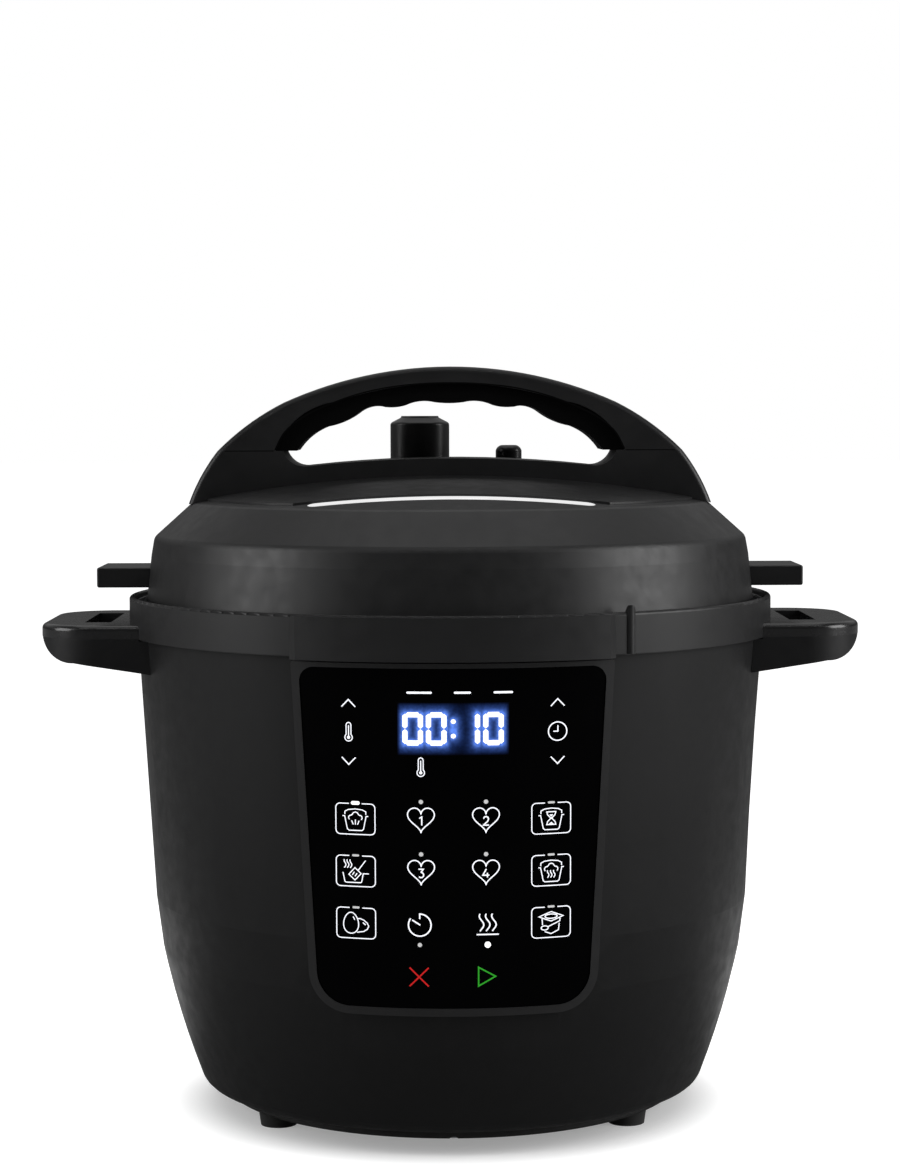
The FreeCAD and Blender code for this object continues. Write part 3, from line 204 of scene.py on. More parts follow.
def new_material(name):
    surface = bpy.data.materials.new(name)
    surface.use_nodes = True
    tree = surface.node_tree
    tree.nodes.clear()
    output = tree.nodes.new("ShaderNodeOutputMaterial")
    shader = tree.nodes.new("ShaderNodeBsdfPrincipled")
    tree.links.new(shader.outputs[0], output.inputs["Surface"])
    return surface, tree, shader


def stretched(tree, stretch):
    """Object coordinates, scaled along each axis, so that a noise on them can be drawn out into lines."""
    place = tree.nodes.new("ShaderNodeTexCoord")
    scale = tree.nodes.new("ShaderNodeMapping")
    scale.inputs["Scale"].default_value = stretch
    tree.links.new(place.outputs["Object"], scale.inputs["Vector"])
    return scale.outputs["Vector"]


def round_the_axis(tree):
    """Coordinates that change outwards and up but not round the upright axis, for turned metal."""
    place = tree.nodes.new("ShaderNodeTexCoord")
    flat = tree.nodes.new("ShaderNodeVectorMath")
    flat.operation = "MULTIPLY"
    flat.inputs[1].default_value = (1, 1, 0)
    radius = tree.nodes.new("ShaderNodeVectorMath")
    radius.operation = "LENGTH"
    parts = tree.nodes.new("ShaderNodeSeparateXYZ")
    join = tree.nodes.new("ShaderNodeCombineXYZ")
    tree.links.new(place.outputs["Object"], flat.inputs[0])
    tree.links.new(flat.outputs[0], radius.inputs[0])
    tree.links.new(place.outputs["Object"], parts.inputs[0])
    tree.links.new(radius.outputs["Value"], join.inputs["X"])
    tree.links.new(parts.outputs["Z"], join.inputs["Y"])
    return join.outputs[0]


def noise(tree, vector, scale, detail=2.0):
    texture = tree.nodes.new("ShaderNodeTexNoise")
    texture.inputs["Scale"].default_value = scale
    texture.inputs["Detail"].default_value = detail
    tree.links.new(vector, texture.inputs["Vector"])
    return texture.outputs["Fac"]


def spread(tree, value, low, high, start=0.3, end=0.7):
    """Spreads the middle of a noise's range over the numbers from `low` to `high`."""
    return ramp_between(tree, value, start, end, low, high, "LINEAR")


def two_colours(tree, factor, first, second):
    mix = tree.nodes.new("ShaderNodeMix")
    mix.data_type = "RGBA"
    mix.inputs["A"].default_value = (*first, 1)
    mix.inputs["B"].default_value = (*second, 1)
    tree.links.new(factor, mix.inputs["Factor"])
    return mix.outputs["Result"]


def wear_and_highlight_edges(tree, colour, highlight_and_wear_colour, reach):
    """Mixes a paler colour in where the surface turns sharply outwards: partly the wear of handled
    mouldings, partly a painted edge highlight.
    """
    edge = tree.nodes.new("ShaderNodeNewGeometry")
    factor = spread(tree, edge.outputs["Pointiness"], 0.0, reach, 0.51, 0.58)
    mix = tree.nodes.new("ShaderNodeMix")
    mix.data_type = "RGBA"
    mix.inputs["B"].default_value = (*highlight_and_wear_colour, 1)
    tree.links.new(factor, mix.inputs["Factor"])
    tree.links.new(colour, mix.inputs["A"])
    return mix.outputs["Result"]


def bump(tree, shader, height, strength, depth):
    relief = tree.nodes.new("ShaderNodeBump")
    relief.inputs["Strength"].default_value = strength
    relief.inputs["Distance"].default_value = depth
    tree.links.new(height, relief.inputs["Height"])
    tree.links.new(relief.outputs["Normal"], shader.inputs["Normal"])


def moulded(name, tone, rough, grain=1400, relief=0.25, gloss=0.5, coat=0.0, edge_wear_and_highlight=0.25):
    """Moulded plastic: a spark-eroded grain, slow shifts of tone and sheen, and edges a little paler, from
    wear and a painted highlight.
    """
    surface, tree, shader = new_material(name)
    place = stretched(tree, (1, 1, 1))
    mottled = spread(tree, noise(tree, place, 22, 3), 0.0, 1.0)
    colour = two_colours(tree, mottled, [c * 0.86 for c in tone], [c * 1.14 for c in tone])
    # The paler edges are partly wear and partly a painted highlight along the edges.
    with_edge_highlight = wear_and_highlight_edges(tree, colour, [min(1, c * 2.2 + 0.01) for c in tone], edge_wear_and_highlight)
    tree.links.new(with_edge_highlight, shader.inputs["Base Color"])
    sheen = spread(tree, noise(tree, place, 160, 4), rough * 0.88, rough * 1.12)
    tree.links.new(sheen, shader.inputs["Roughness"])
    shader.inputs["Specular IOR Level"].default_value = gloss
    shader.inputs["Coat Weight"].default_value = coat
    shader.inputs["Coat Roughness"].default_value = 0.12
    bump(tree, shader, noise(tree, place, grain, 2), relief, 0.00006)
    return surface


def metal(name, tone, rough, lines, line_scale, relief=0.12, tint=None):
    """Bare metal with drawn-out brush or turning lines, and a soft change of tone across it."""
    surface, tree, shader = new_material(name)
    if lines == "turned":
        place = round_the_axis(tree)
    else:
        place = stretched(tree, lines)
    mottled = spread(tree, noise(tree, stretched(tree, (1, 1, 1)), 14, 3), 0.0, 1.0)
    second = tint or [c * 0.84 for c in tone]
    tree.links.new(two_colours(tree, mottled, tone, second), shader.inputs["Base Color"])
    shader.inputs["Metallic"].default_value = 1.0
    brushed = noise(tree, place, line_scale, 3)
    tree.links.new(spread(tree, brushed, rough * 0.7, rough * 1.35), shader.inputs["Roughness"])
    bump(tree, shader, brushed, relief, 0.00003)
    return surface


def panel_glass():
    """Black printed lens: a mirror-smooth face with the faint unevenness of a moulded window."""
    surface, tree, shader = new_material("panel_gloss")
    place = stretched(tree, (1, 1, 1))
    depth = spread(tree, noise(tree, place, 30, 2), 0.0, 1.0)
    tree.links.new(two_colours(tree, depth, (0.0006, 0.0006, 0.0008), (0.0012, 0.0012, 0.0015)),
                   shader.inputs["Base Color"])
    tree.links.new(spread(tree, noise(tree, place, 260, 3), 0.05, 0.11), shader.inputs["Roughness"])
    shader.inputs["Specular IOR Level"].default_value = 0.03
    bump(tree, shader, noise(tree, place, 18, 1), 0.05, 0.0002)
    return surface


def board_green():
    """Solder mask over copper tracks, which show as slightly raised paler lines."""
    surface, tree, shader = new_material("circuit_board")
    tracks = tree.nodes.new("ShaderNodeTexBrick")
    tracks.inputs["Scale"].default_value = 240
    tracks.inputs["Color1"].default_value = (0.01, 0.085, 0.03, 1)
    tracks.inputs["Color2"].default_value = (0.012, 0.1, 0.035, 1)
    tracks.inputs["Mortar"].default_value = (0.05, 0.24, 0.09, 1)
    tracks.inputs["Mortar Size"].default_value = 0.03
    tree.links.new(stretched(tree, (1, 1, 1)), tracks.inputs["Vector"])
    tree.links.new(tracks.outputs["Color"], shader.inputs["Base Color"])
    shader.inputs["Roughness"].default_value = 0.35
    bump(tree, shader, tracks.outputs["Fac"], 0.3, 0.00004)
    return surface


def rubbery(name, tone, rough, clear=0.0):
    """Rubber or silicone: slightly dusty and finely pitted, and lets some light in if clear is over 0."""
    surface, tree, shader = new_material(name)
    place = stretched(tree, (1, 1, 1))
    dust = spread(tree, noise(tree, place, 60, 4), 0.0, 1.0)
    tree.links.new(two_colours(tree, dust, tone, [min(1, c * 1.25 + 0.01) for c in tone]),
                   shader.inputs["Base Color"])
    shader.inputs["Roughness"].default_value = rough
    shader.inputs["Sheen Weight"].default_value = 0.2
    shader.inputs["Subsurface Weight"].default_value = clear
    shader.inputs["Subsurface Radius"].default_value = (0.003, 0.003, 0.003)
    bump(tree, shader, noise(tree, place, 900, 3), 0.3, 0.00008)
    return surface


def glow_as_painted_reflection(material, strength):
    """Adds light of its own to a polished piece: a painted reflection of the pale room that the handle
    hides from it.
    """
    shader = next(n for n in material.node_tree.nodes if n.type == "BSDF_PRINCIPLED")
    shader.inputs["Emission Color"].default_value = (1, 1, 1, 1)
    shader.inputs["Emission Strength"].default_value = strength
    return material


def make_materials():
    """One finished surface for each of the record's material slots."""
    across = (60, 60, 900)
    return {
        "housing_plastic": moulded("housing_plastic", (0.0065, 0.0065, 0.0068), 0.48, relief=0.30,
                                   gloss=0.30),
        "base_plastic": moulded("base_plastic", (0.010, 0.010, 0.010), 0.6, grain=900, relief=0.5),
        "collar_plastic": moulded("collar_plastic", (0.014, 0.014, 0.0145), 0.42, relief=0.22, gloss=0.42),
        "bezel_plastic": moulded("bezel_plastic", (0.010, 0.010, 0.0105), 0.36, relief=0.15),
        "panel_gloss": panel_glass(),
        "display": moulded("display", (0.006, 0.007, 0.012), 0.3, relief=0.1, edge_wear_and_highlight=0.0),
        "circuit_board": board_green(),
        "board_components": moulded("board_components", (0.02, 0.02, 0.028), 0.5, grain=2200, edge_wear_and_highlight=0.1),
        "handle_gloss": moulded("handle_gloss", (0.016, 0.016, 0.0165), 0.26, relief=0.10, coat=0.25),
        "grip_plastic": moulded("grip_plastic", (0.0045, 0.0045, 0.005), 0.52, relief=0.35, gloss=0.35),
        "screw_steel": metal("screw_steel", (0.5, 0.5, 0.52), 0.32, (300, 300, 300), 3.0),
        "liner_steel": metal("liner_steel", (0.60, 0.60, 0.61), 0.30, across, 3.0),
        "pot_steel": metal("pot_steel", (0.66, 0.66, 0.67), 0.22, "turned", 1600),
        "lid_steel": metal("lid_steel", (0.62, 0.62, 0.63), 0.24, "turned", 1300),
        # The strip's white glow is a painted reflection, standing in for the pale room.
        "strip_steel": glow_as_painted_reflection(metal("strip_steel", (0.92, 0.92, 0.93), 0.08, (40, 900, 900), 2.0,
                                    relief=0.03), 0.85),
        "plate_aluminium": metal("plate_aluminium", (0.68, 0.68, 0.69), 0.38, "turned", 900, relief=0.25),
        "element_steel": metal("element_steel", (0.30, 0.27, 0.24), 0.45, (200, 200, 200), 2.0,
                               tint=(0.34, 0.24, 0.16)),
        "sensor_metal": metal("sensor_metal", (0.68, 0.68, 0.69), 0.28, (120, 120, 1800), 2.0),
        "spring_steel": metal("spring_steel", (0.5, 0.5, 0.52), 0.3, (400, 400, 400), 3.0),
        "foot_rubber": rubbery("foot_rubber", (0.012, 0.012, 0.012), 0.8),
        "inlet_plastic": moulded("inlet_plastic", (0.008, 0.008, 0.008), 0.45, relief=0.3),
        "contact_brass": metal("contact_brass", (0.72, 0.58, 0.32), 0.25, (900, 60, 900), 2.0),
        "wire_insulation": rubbery("wire_insulation", (0.22, 0.08, 0.04), 0.55),
        "seal_silicone": rubbery("seal_silicone", (0.62, 0.64, 0.65), 0.42, clear=0.25),
        "lid_plastic": moulded("lid_plastic", (0.019, 0.019, 0.0195), 0.44, relief=0.16, gloss=0.50),
        "fin_plastic": moulded("fin_plastic", (0.0095, 0.0095, 0.010), 0.34, relief=0.15),
        "lid_handle_plastic": moulded("lid_handle_plastic", (0.013, 0.013, 0.0135), 0.40, relief=0.15,
                                      gloss=0.42),
        "insert_plastic": moulded("insert_plastic", (0.0006, 0.0006, 0.0007), 0.6, relief=0.3, gloss=0.06),
        "valve_plastic": moulded("valve_plastic", (0.016, 0.016, 0.0165), 0.34, relief=0.2),
        "mechanism_plastic": moulded("mechanism_plastic", (0.16, 0.16, 0.17), 0.5, grain=1800, relief=0.4),
        "pin_steel": metal("pin_steel", (0.6, 0.6, 0.6), 0.18, (120, 120, 2400), 2.0),
        "magnet": metal("magnet", (0.2, 0.2, 0.2), 0.4, (300, 300, 300), 3.0),
    }


# Moulded edges that catch the light, and how far each is rounded, in millimetres.
EDGE_ROUNDING = {
    "badge_plate": 0.45,
    "upper_collar": 0.40,
    "left_handle_cover": 0.5,
    "right_handle_cover": 0.5,
    "left_fin": 0.4,
    "right_fin": 0.4,
}
EDGE_ANGLE = 40


def finish_nodes(surfaces):
    """Gives each node its slot's surface, and rounds the edges listed above."""
    for name, piece in NODES.items():
        piece.data.materials.clear()
        piece.data.materials.append(surfaces[SLOT_OF[name]])
    for name, width in EDGE_ROUNDING.items():
        rounding = NODES[name].modifiers.new("edge_rounding", "BEVEL")
        rounding.width = width * MM
        rounding.segments = 2
        rounding.limit_method = "ANGLE"
        rounding.angle_limit = math.radians(EDGE_ANGLE)
        rounding.harden_normals = True


# ---------------------------------------------------------------- the panel's print and display
# From here on lengths are millimetres: x runs across the panel from its middle line, and z is the height.

GLASS_LOW, GLASS_HIGH = (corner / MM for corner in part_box("control_glass"))
GLASS_FOOT_RADIUS = 120.4
GLASS_HEAD_RADIUS = 129.0
LINE = 0.42
FINE_LINE = 0.36
MIDDLE_X = 12.0
TIMER_X = 12.6
KEY_X = 36.3
SIDE_X = 38.6
ROWS = (133.2, 113.5, 93.75)


def on_glass(x, z, lift):
    """The place on the curved glass at this distance from its middle line and height, in metres."""
    up = (z - GLASS_LOW.z) / (GLASS_HIGH.z - GLASS_LOW.z)
    radius = GLASS_FOOT_RADIUS + up * (GLASS_HEAD_RADIUS - GLASS_FOOT_RADIUS) + lift
    return Vector((x, -math.sqrt(radius * radius - x * x), z)) * MM


def arc(centre, radius, start, end, tall=1.0):
    """Points along an arc, from one angle to another in degrees, anticlockwise where the end is larger."""
    count = max(4, round(abs(end - start) * radius / 40))
    turns = [math.radians(start + (end - start) * i / count) for i in range(count + 1)]
    return [(centre[0] + radius * math.cos(t), centre[1] + radius * tall * math.sin(t)) for t in turns]


def evenly(points, step=1.5):
    """The same polyline with its long stretches divided, so that it can follow the curve of the glass."""
    out = [points[0]]
    for start, end in zip(points, points[1:]):
        count = max(1, math.ceil(math.dist(start, end) / step))
        for i in range(1, count + 1):
            out.append(tuple(a + (b - a) * i / count for a, b in zip(start, end)))
    return out


class Print:
    """Flat shapes on the glass, or on another face given by `place`, each a thin closed plate."""

    def __init__(self, front=0.06, back=-0.04, place=on_glass, body="base"):
        self.mesh = bmesh.new()
        self.front, self.back = front, back
        self.place, self.body = place, body

    def plate(self, cells):
        """Joins flat cells, each a list of (x, z) corners, into one closed plate."""
        places = {}
        corners = []
        for cell in cells:
            row = []
            for x, z in cell:
                key = (round(x, 4), round(z, 4))
                if key not in places:
                    faces = [self.place(x, z, lift) for lift in (self.front, self.back)]
                    places[key] = [self.mesh.verts.new(face) for face in faces]
                row.append(key)
            corners.append(row)
        sides = {}
        for row in corners:
            self.mesh.faces.new([places[key][0] for key in row])
            self.mesh.faces.new([places[key][1] for key in reversed(row)])
            for first, second in zip(row, row[1:] + row[:1]):
                sides[(first, second)] = True
        for first, second in sides:
            if (second, first) not in sides:
                (front_a, back_a), (front_b, back_b) = places[first], places[second]
                self.mesh.faces.new([front_b, front_a, back_a, back_b])

    def line(self, points, width=LINE, closed=False):
        """A stroke of even width through the points."""
        points = evenly(points + points[:1] if closed else points)
        if closed:
            points = points[:-1]
        count = len(points)
        edges = []
        for i, point in enumerate(points):
            before = points[i - 1] if closed or i else point
            after = points[(i + 1) % count] if closed or i < count - 1 else point
            here = Vector(point)
            both = (here - Vector(before), Vector(after) - here)
            runs = [run.normalized() for run in both if run.length > 0]
            along = sum(runs, Vector((0, 0))).normalized()
            across = Vector((-along.y, along.x))
            stretch = max(0.5, abs(along.dot(runs[0])))
            edges.append([tuple(here + across * side * width / 2 / stretch) for side in (1, -1)])
        spans = list(zip(edges, edges[1:] + edges[:1])) if closed else list(zip(edges, edges[1:]))
        self.plate([[a[0], a[1], b[1], b[0]] for a, b in spans])

    def fan(self, centre, rim):
        self.plate([[centre, a, b] for a, b in zip(rim, rim[1:] + rim[:1])])

    def disc(self, centre, radius):
        self.fan(centre, arc(centre, radius, 0, 345))

    def bar(self, centre, width, height):
        """A short bar with round ends, in a fan about its middle."""
        reach = (width - height) / 2
        x, z = centre
        right, left = arc((x + reach, z), height / 2, -90, 90), arc((x - reach, z), height / 2, 90, 270)
        self.fan(centre, right + left)

    def finish(self, name, surface, slot):
        data = bpy.data.meshes.new(name)
        bmesh.ops.recalc_face_normals(self.mesh, faces=self.mesh.faces)
        self.mesh.to_mesh(data)
        self.mesh.free()
        data.materials.append(surface)
        piece = bpy.data.objects.new(name, data)
        bpy.context.scene.collection.objects.link(piece)
        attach(piece, self.body)
        return piece


def moved(points, x, z):
    return [(x + px, z + pz) for px, pz in points]


def chevron(print_on, x, z, up):
    print_on.line([(x - 2.55, z - 1.35 * up), (x, z + 1.35 * up), (x + 2.55, z - 1.35 * up)])


def thermometer(print_on, x, z):
    bulb = arc((x, z - 2.1), 1.4, 130, 410)
    cap = arc((x, z + 2.6), 0.9, 0, 180)
    print_on.line(bulb + cap, FINE_LINE, closed=True)
    print_on.disc((x, z - 2.1), 0.65)
    print_on.line([(x, z - 1.7), (x, z + 2.4)], 0.4)


def clock(print_on, x, z):
    print_on.line(arc((x, z), 3.45, 0, 357), closed=True)
    print_on.line([(x + 0.1, z + 2.2), (x + 0.1, z), (x - 1.6, z)])


def heart(print_on, x, z):
    rim = []
    for i in range(64):
        t = math.tau * i / 64
        tall = 13 * math.cos(t) - 5 * math.cos(2 * t) - 2 * math.cos(3 * t) - math.cos(4 * t)
        rim.append((x + 0.31 * 16 * math.sin(t) ** 3, z + 0.316 * (tall + 2.6)))
    print_on.line(rim, closed=True)


def numeral(print_on, figure, x, z):
    strokes = {
        1: [[(-0.6, 1.0), (0.3, 1.6), (0.3, -1.6)]],
        2: [arc((0, 0.7), 0.95, 170, 0) + [(0.6, -0.2), (-1.0, -1.6), (1.1, -1.6)]],
        3: [[(-1.0, 1.6), (0.8, 1.6), (-0.05, 0.4)] + arc((-0.05, -0.6), 1.0, 90, -140)],
        4: [[(0.1, 1.6), (-1.2, -0.75), (1.2, -0.75)], [(0.5, 0.1), (0.5, -1.6)]],
    }
    for stroke in strokes[figure]:
        print_on.line(moved(stroke, x, z), 0.46)


def key_frame(print_on, x, z):
    """A rounded frame whose top is open round the key's lamp."""
    wide, tall, corner, gap = 7.3, 5.8, 1.6, 2.4
    frame_line = [(gap, tall)]
    for side, up, start in ((1, 1, 90), (1, -1, 0), (-1, -1, -90), (-1, 1, -180)):
        frame_line += arc((side * (wide - corner), up * (tall - corner)), corner, start, start - 90)
    print_on.line(moved(frame_line + [(-gap, tall)], x, z), FINE_LINE)


def wave(print_on, x, z, tall, sway, width=FINE_LINE):
    """One upright curl of steam."""
    points = []
    for i in range(13):
        t = i / 12
        points.append((x + sway * math.sin(math.tau * (t - 0.12)), z + tall * (t - 0.5)))
    print_on.line(points, width)


def pot(print_on, x, z):
    lid = [(-3.9, 1.7), (-3.9, 2.8), (-2.6, 3.5), (0, 3.8), (2.6, 3.5), (3.9, 2.8), (3.9, 1.7)]
    half_body = [(2.4, -4.3), (3.0, -3.8), (4.0, 1.1), (4.8, 1.1)]
    body = [(-px, pz) for px, pz in reversed(half_body)] + half_body
    for stroke in (lid, body):
        print_on.line(moved(stroke, x, z), FINE_LINE)


def cloud(print_on, x, z):
    left, right = arc((-1.6, 0.5), 0.95, 230, 80), arc((1.6, 0.5), 0.95, 100, -50)
    crown = arc((0, 1.5), 1.15, 165, 15)
    print_on.line(moved(left + crown + right, x, z), FINE_LINE)


def steam_key(print_on, x, z):
    pot(print_on, x, z)
    cloud(print_on, x, z)
    for lean in (-1, 0, 1):
        print_on.line(moved([(lean * 1.4, -0.6 + 0.4 * (lean == 0)), (lean * 0.8, -2.1)], x, z), FINE_LINE)


def slow_key(print_on, x, z):
    pot(print_on, x, z)
    for up in (-1, 1):
        glass = [(-1.7, 2.4), (-1.4, 1.3), (-0.25, 0.1), (0.25, 0.1), (1.4, 1.3), (1.7, 2.4)]
        print_on.line(moved([(px, pz * up) for px, pz in glass], x, z), FINE_LINE, closed=True)
    print_on.fan((x, z + 1.1), moved([(-0.7, 1.4), (0, 0.5), (0.7, 1.4)], x, z))
    print_on.fan((x, z - 1.9), moved([(-0.9, -2.2), (0.9, -2.2), (0, -1.4)], x, z))


def fry_key(print_on, x, z):
    pan = [(-4.8, -0.6), (-4.1, -4.0), (-3.7, -4.35), (1.8, -4.35), (2.2, -4.0), (2.8, -0.9), (4.9, -0.9)]
    blade = [(-0.3, 1.3), (2.0, -0.9), (-0.3, -3.4), (-2.6, -1.3)]
    print_on.line(moved(pan, x, z), FINE_LINE)
    print_on.line(moved(blade, x, z), FINE_LINE, closed=True)
    print_on.line(moved([(0.9, 0.3), (3.7, 4.1)], x, z), FINE_LINE)
    for shift in (0, 1.0):
        slit = [(-1.3 + shift, -1.5 - shift / 2), (-0.5 + shift, -0.3 - shift / 2)]
        print_on.line(moved(slit, x, z), FINE_LINE)
    for curl in range(3):
        wave(print_on, x - 4.0 + 1.1 * curl, z + 2.7, 3.2, 0.35)


def sauce_key(print_on, x, z):
    pot(print_on, x, z)
    cloud(print_on, x, z)
    for curl in (-1, 0, 1):
        wave(print_on, x + 1.15 * curl, z - 1.4, 2.8, 0.3)


def egg_key(print_on, x, z):
    front = [(2.8 * math.cos(t) * (1 - 0.14 * math.sin(t)), 4.0 * math.sin(t))
             for t in (math.tau * i / 40 for i in range(40))]
    back = [(0.5, 1.7), (1.6, 1.75), (2.9, 1.2), (4.1, 0.2),
            (4.7, -1.0), (4.2, -2.2), (2.8, -3.1), (0.3, -3.5)]
    print_on.line(moved(front, x - 1.9, z), FINE_LINE, closed=True)
    print_on.line(moved(back, x, z), FINE_LINE)
    print_on.line(moved([(-1.1, 2.4), (-0.5, 1.2)], x, z), FINE_LINE)
    print_on.line(moved([(2.5, 0.3), (3.6, -0.6)], x, z), FINE_LINE)


def yogurt_key(print_on, x, z):
    top = [(-4.6, 2.2), (0, 4.0), (4.6, 2.2), (0, 0.4)]
    cup = [(3.1, -0.5), (2.8, -3.1), (0, -4.4), (-2.4, -3.5)]
    print_on.line(moved(top, x, z), FINE_LINE, closed=True)
    print_on.line(moved(arc((0, 2.25), 2.3, 0, 350, 0.36), x, z), FINE_LINE, closed=True)
    print_on.line(moved([(-3.4, 1.4), (-3.2, -1.0)], x, z), FINE_LINE)
    print_on.line(moved(cup, x, z), FINE_LINE)
    print_on.line(moved([(-1.2, -1.7), (3.3, 0.3), (3.4, 1.4)], x, z), FINE_LINE)
    print_on.line(moved(arc((-2.4, -2.1), 1.35, 0, 350, 0.6), x, z), FINE_LINE, closed=True)


def timer_mark(print_on, x, z):
    print_on.line([(x, z + 2.3), (x, z + 4.2)] + arc((x, z), 4.2, 89, -216), 0.5)
    print_on.line([(x - 2.8, z + 1.9), (x + 0.2, z)], 0.5)


def warm_mark(print_on, x, z):
    for curl in (-1, 0, 1):
        wave(print_on, x + 2.3 * curl, z + 0.9, 6.6, 0.85, 0.48)
    print_on.line([(x - 4.1, z - 3.65), (x + 4.1, z - 3.65)], 0.5)


def stop_mark(print_on, x, z):
    for up in (-1, 1):
        print_on.line([(x - 3.55, z - 3.55 * up), (x + 3.55, z + 3.55 * up)], 0.55)


def start_mark(print_on, x, z):
    print_on.line([(x - 3.1, z - 3.55), (x + 3.2, z), (x - 3.1, z + 3.55)], 0.55, closed=True)


DIGIT_PLACES = (-14.9, -6.25, 6.05, 14.8)
DIGIT_BARS = ("abcdef", "abcdef", "bc", "abcdef")
DIGIT_HALF, DIGIT_TOP, DIGIT_MIDDLE, DIGIT_FOOT = 2.85, 172.7, 167.45, 162.2
BAR_HALF = 0.95
BAR_GAP = 0.12
BAR_POINT = 0.8
END_REACH = 0.5
COLON_HEIGHTS = (164.8, 170.2)
WINDOW_HALF, WINDOW_FOOT, WINDOW_TALL = 20.6, 157.6, 19.6
NEAR_BLUE, NEAR_FADE = (0.10, 0.22, 0.75), 0.75
FAR_BLUE, FAR_FADE = (0.012, 0.035, 0.16), 2.6


def digit_bars():
    """The centre lines of the lit bars of the time on the display."""
    lines = []
    for x, lit in zip(DIGIT_PLACES, DIGIT_BARS):
        left, right = x - DIGIT_HALF, x + DIGIT_HALF
        bars = {
            "a": ((left, DIGIT_TOP), (right, DIGIT_TOP)),
            "b": ((right, DIGIT_MIDDLE), (right, DIGIT_TOP)),
            "c": ((right, DIGIT_FOOT), (right, DIGIT_MIDDLE)),
            "d": ((left, DIGIT_FOOT), (right, DIGIT_FOOT)),
            "e": ((left, DIGIT_FOOT), (left, DIGIT_MIDDLE)),
            "f": ((left, DIGIT_MIDDLE), (left, DIGIT_TOP)),
        }
        lines += [bars[name] for name in lit]
    return lines


def draw_digits(print_on):
    """Each lit bar as a six-sided plate with pointed ends, and the two dots of the colon."""
    for start, end in digit_bars():
        along = (Vector(end) - Vector(start)).normalized()
        across = Vector((-along.y, along.x)) * BAR_HALF
        first, last = Vector(start) + along * BAR_GAP, Vector(end) - along * BAR_GAP
        if along.y > 0.5 and end[1] == DIGIT_TOP:
            last += along * END_REACH
        if along.y > 0.5 and start[1] == DIGIT_FOOT:
            first -= along * END_REACH
        point = along * BAR_POINT
        rim = [first, first + point - across, last - point - across,
               last, last - point + across, first + point + across]
        print_on.fan(tuple((first + last) / 2), [tuple(corner) for corner in rim])
    for z in COLON_HEIGHTS:
        print_on.bar((0, z), 1.9, 1.75)


def reach_to(point, start, end):
    """Distance from a point to a straight bar."""
    run = Vector(end) - Vector(start)
    share = max(0.0, min(1.0, (Vector(point) - Vector(start)).dot(run) / run.length_squared))
    return (Vector(point) - Vector(start) - run * share).length


def display_glow():
    """The lit window behind the digits: a blue that is strongest beside the lit bars and fades to black."""
    lines = digit_bars() + [tuple((0, z) for z in COLON_HEIGHTS)]
    surface, tree, shader = new_material("display_glow")
    paint = tree.nodes.new("ShaderNodeVertexColor")
    paint.layer_name = "glow"
    shader.inputs["Base Color"].default_value = (0.002, 0.002, 0.004, 1)
    shader.inputs["Roughness"].default_value = 0.2
    shader.inputs["Specular IOR Level"].default_value = 0.05
    grain = spread(tree, noise(tree, stretched(tree, (1, 1, 1)), 900, 2), 0.75, 1.25)
    tree.links.new(grain, shader.inputs["Emission Strength"])
    tree.links.new(paint.outputs["Color"], shader.inputs["Emission Color"])
    window = Print(front=0.03)
    columns, rows = 72, 34
    xs = [-WINDOW_HALF + 2 * WINDOW_HALF * i / columns for i in range(columns + 1)]
    zs = [WINDOW_FOOT + WINDOW_TALL * i / rows for i in range(rows + 1)]
    window.plate([
        [(xs[i], zs[j]), (xs[i + 1], zs[j]), (xs[i + 1], zs[j + 1]), (xs[i], zs[j + 1])]
        for i in range(columns) for j in range(rows)
    ])
    piece = window.finish("display_window", surface, "display")
    paint_layer = piece.data.color_attributes.new("glow", "FLOAT_COLOR", "POINT")
    for vertex, dot in zip(piece.data.vertices, paint_layer.data):
        x, z = vertex.co.x / MM, vertex.co.z / MM
        gap = max(0.0, min(reach_to((x, z), *bar) for bar in lines) - BAR_HALF)
        near, far = math.exp(-gap / NEAR_FADE), math.exp(-gap / FAR_FADE)
        from_foot, from_top = z - WINDOW_FOOT, WINDOW_FOOT + WINDOW_TALL - z
        edge = min(1.0, (WINDOW_HALF - abs(x)) / 1.2) * min(1.0, from_foot / 1.2, from_top / 1.0)
        dot.color = (*[edge * (near * a + far * b) for a, b in zip(NEAR_BLUE, FAR_BLUE)], 1)


def glowing(name, colour, strength):
    """Lit print or lamp: its light is a little uneven, as through a screen-printed window."""
    surface, tree, shader = new_material(name)
    shader.inputs["Base Color"].default_value = (*[c * 0.6 for c in colour], 1)
    shader.inputs["Roughness"].default_value = 0.4
    uneven = noise(tree, stretched(tree, (1, 1, 1)), 700, 2)
    tree.links.new(two_colours(tree, spread(tree, uneven, 0, 1), colour, [c * 0.86 for c in colour]),
                   shader.inputs["Emission Color"])
    shader.inputs["Emission Strength"].default_value = strength
    return surface


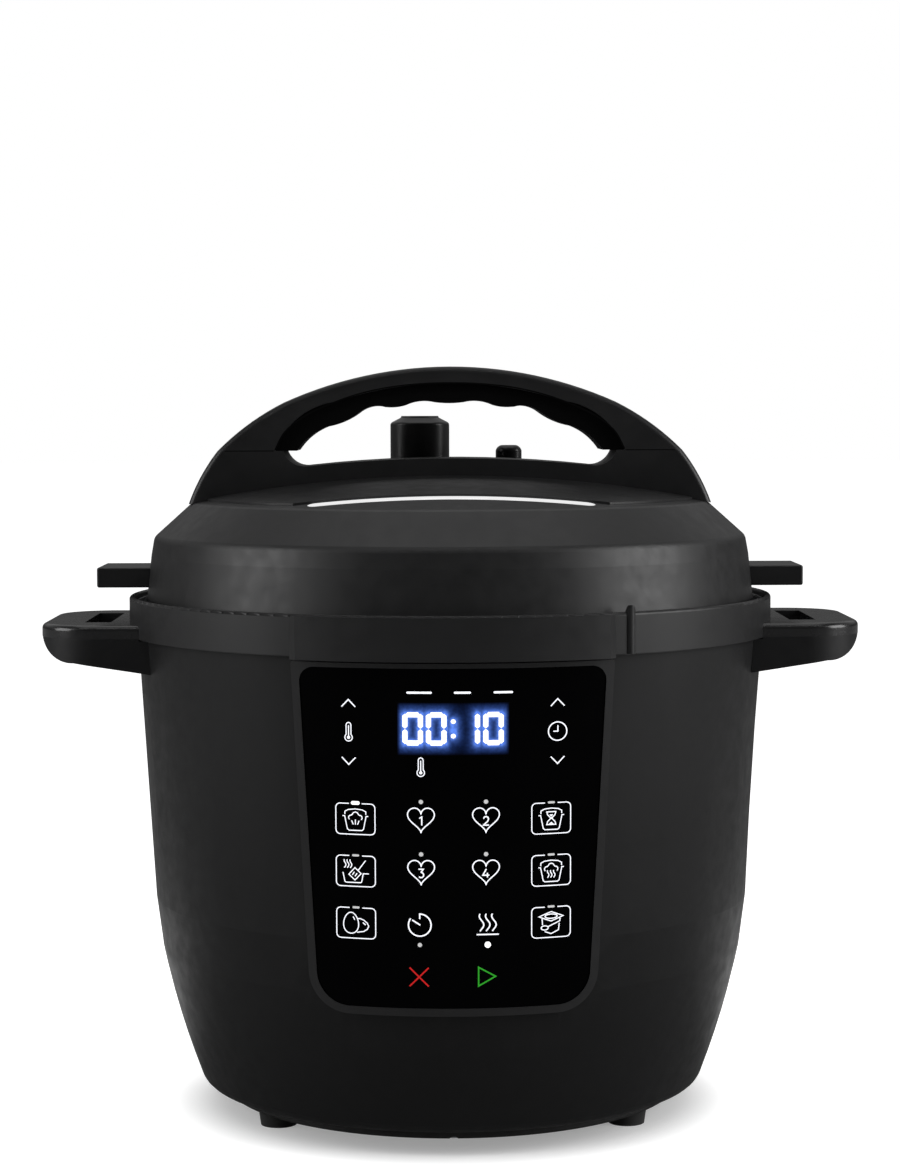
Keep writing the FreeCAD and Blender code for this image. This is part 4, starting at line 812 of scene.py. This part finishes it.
def make_panel_print():
    """Everything that shows on the panel, with one piece for each colour of print or lamp."""
    white, lamp, dim = Print(), Print(front=0.10), Print(front=0.08)
    for x, width in ((-12.5, 9.4), (3.4, 6.3), (18.4, 7.2)):
        white.bar((x, 180.9), width, 0.8)
    for side in (-1, 1):
        chevron(white, side * SIDE_X, 176.6, 1)
        chevron(white, side * SIDE_X, 155.0, -1)
    thermometer(white, -SIDE_X, 165.9)
    thermometer(white, -MIDDLE_X, 153.2)
    clock(white, SIDE_X, 165.8)
    keys = ((steam_key, slow_key), (fry_key, sauce_key), (egg_key, yogurt_key))
    for row, (z, pair) in enumerate(zip(ROWS, keys)):
        for side, draw in zip((-1, 1), pair):
            x = side * KEY_X
            key_frame(white, x, z)
            draw(white, x, z)
            if row or side > 0:
                dim.bar((x, z + 5.95), 2.7, 0.8)
            else:
                lamp.bar((x, z + 6.05), 3.3, 1.35)
    for row, z in enumerate(ROWS[:2]):
        for column, side in enumerate((-1, 1)):
            heart(white, side * MIDDLE_X, z + 0.1)
            numeral(white, 1 + 2 * row + column, side * MIDDLE_X, z - 0.2)
            dim.disc((side * MIDDLE_X, z + 7.0), 0.85)
    timer_mark(white, -TIMER_X, ROWS[2])
    warm_mark(white, TIMER_X, ROWS[2])
    dim.disc((-TIMER_X, 86.2), 0.85)
    lamp.disc((TIMER_X, 86.2), 1.2)
    white.finish("panel_symbols", glowing("white_print", (0.92, 0.94, 1.0), 1.15), "panel_gloss")
    dim.finish("idle_lamps", glowing("idle_lamp", (0.60, 0.60, 0.60), 0.85), "panel_gloss")
    red, green = Print(), Print()
    stop_mark(red, -TIMER_X - 0.3, 74.0)
    start_mark(green, TIMER_X - 0.3, 74.1)
    red.finish("stop_symbol", glowing("red_print", (0.50, 0.008, 0.008), 1.0), "panel_gloss")
    green.finish("start_symbol", glowing("green_print", (0.02, 0.30, 0.015), 1.0), "panel_gloss")
    draw_digits(lamp)
    lamp.finish("display_digits", glowing("display_light", (1.0, 1.0, 1.0), 1.4), "display")
    display_glow()


# ---------------------------------------------------------------- the seams on the lid's handle

HANDLE_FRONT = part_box("handle_arch")[0].y / MM
PARTING_HEIGHT = 268.0
PARTING_INNER, PARTING_OUTER = 71.2, 91.0
PARTING_LINE = 0.35
GROOVE_LINE = 0.55
HALF_GROOVE = (
    (0, 295.2), (15, 294.6), (29.5, 292.6), (43.8, 288.6), (58.2, 282.2), (66.5, 275.8), (70.6, 268.4),
)


def on_handle(x, z, lift):
    """The place on the flat front of the lid's handle, in metres."""
    return Vector((x, HANDLE_FRONT - lift, z)) * MM


def smooth_through(points, steps=5):
    """A smooth curve through the points."""
    ends = [points[0], *points, points[-1]]
    out = []
    for i in range(1, len(ends) - 2):
        before, start, end, after = (Vector(p) for p in ends[i - 1:i + 3])
        for step in range(steps):
            t = step / steps
            bend = (2 * before - 5 * start + 4 * end - after) * t * t
            twist = (3 * start - before - 3 * end + after) * t * t * t
            out.append(tuple((2 * start + (end - before) * t + bend + twist) / 2))
    return out + [points[-1]]


def make_handle_seams(surface):
    """Dark lines where the handle's mouldings meet: round the finger grip, and level with its ends."""
    seams = Print(0.05, -0.03, on_handle, "lid")
    left = [(-x, z) for x, z in reversed(HALF_GROOVE[1:])]
    seams.line(smooth_through(left + list(HALF_GROOVE)), GROOVE_LINE)
    for side in (-1, 1):
        ends = [(side * PARTING_OUTER, PARTING_HEIGHT), (side * PARTING_INNER, PARTING_HEIGHT)]
        seams.line(ends, PARTING_LINE)
    seams.finish("handle_seams", surface, "insert_plastic")


# ---------------------------------------------------------------- making it

make_camera()
make_studio()
make_floor()
surfaces = make_materials()
finish_nodes(surfaces)
make_panel_print()
make_handle_seams(surfaces["insert_plastic"])
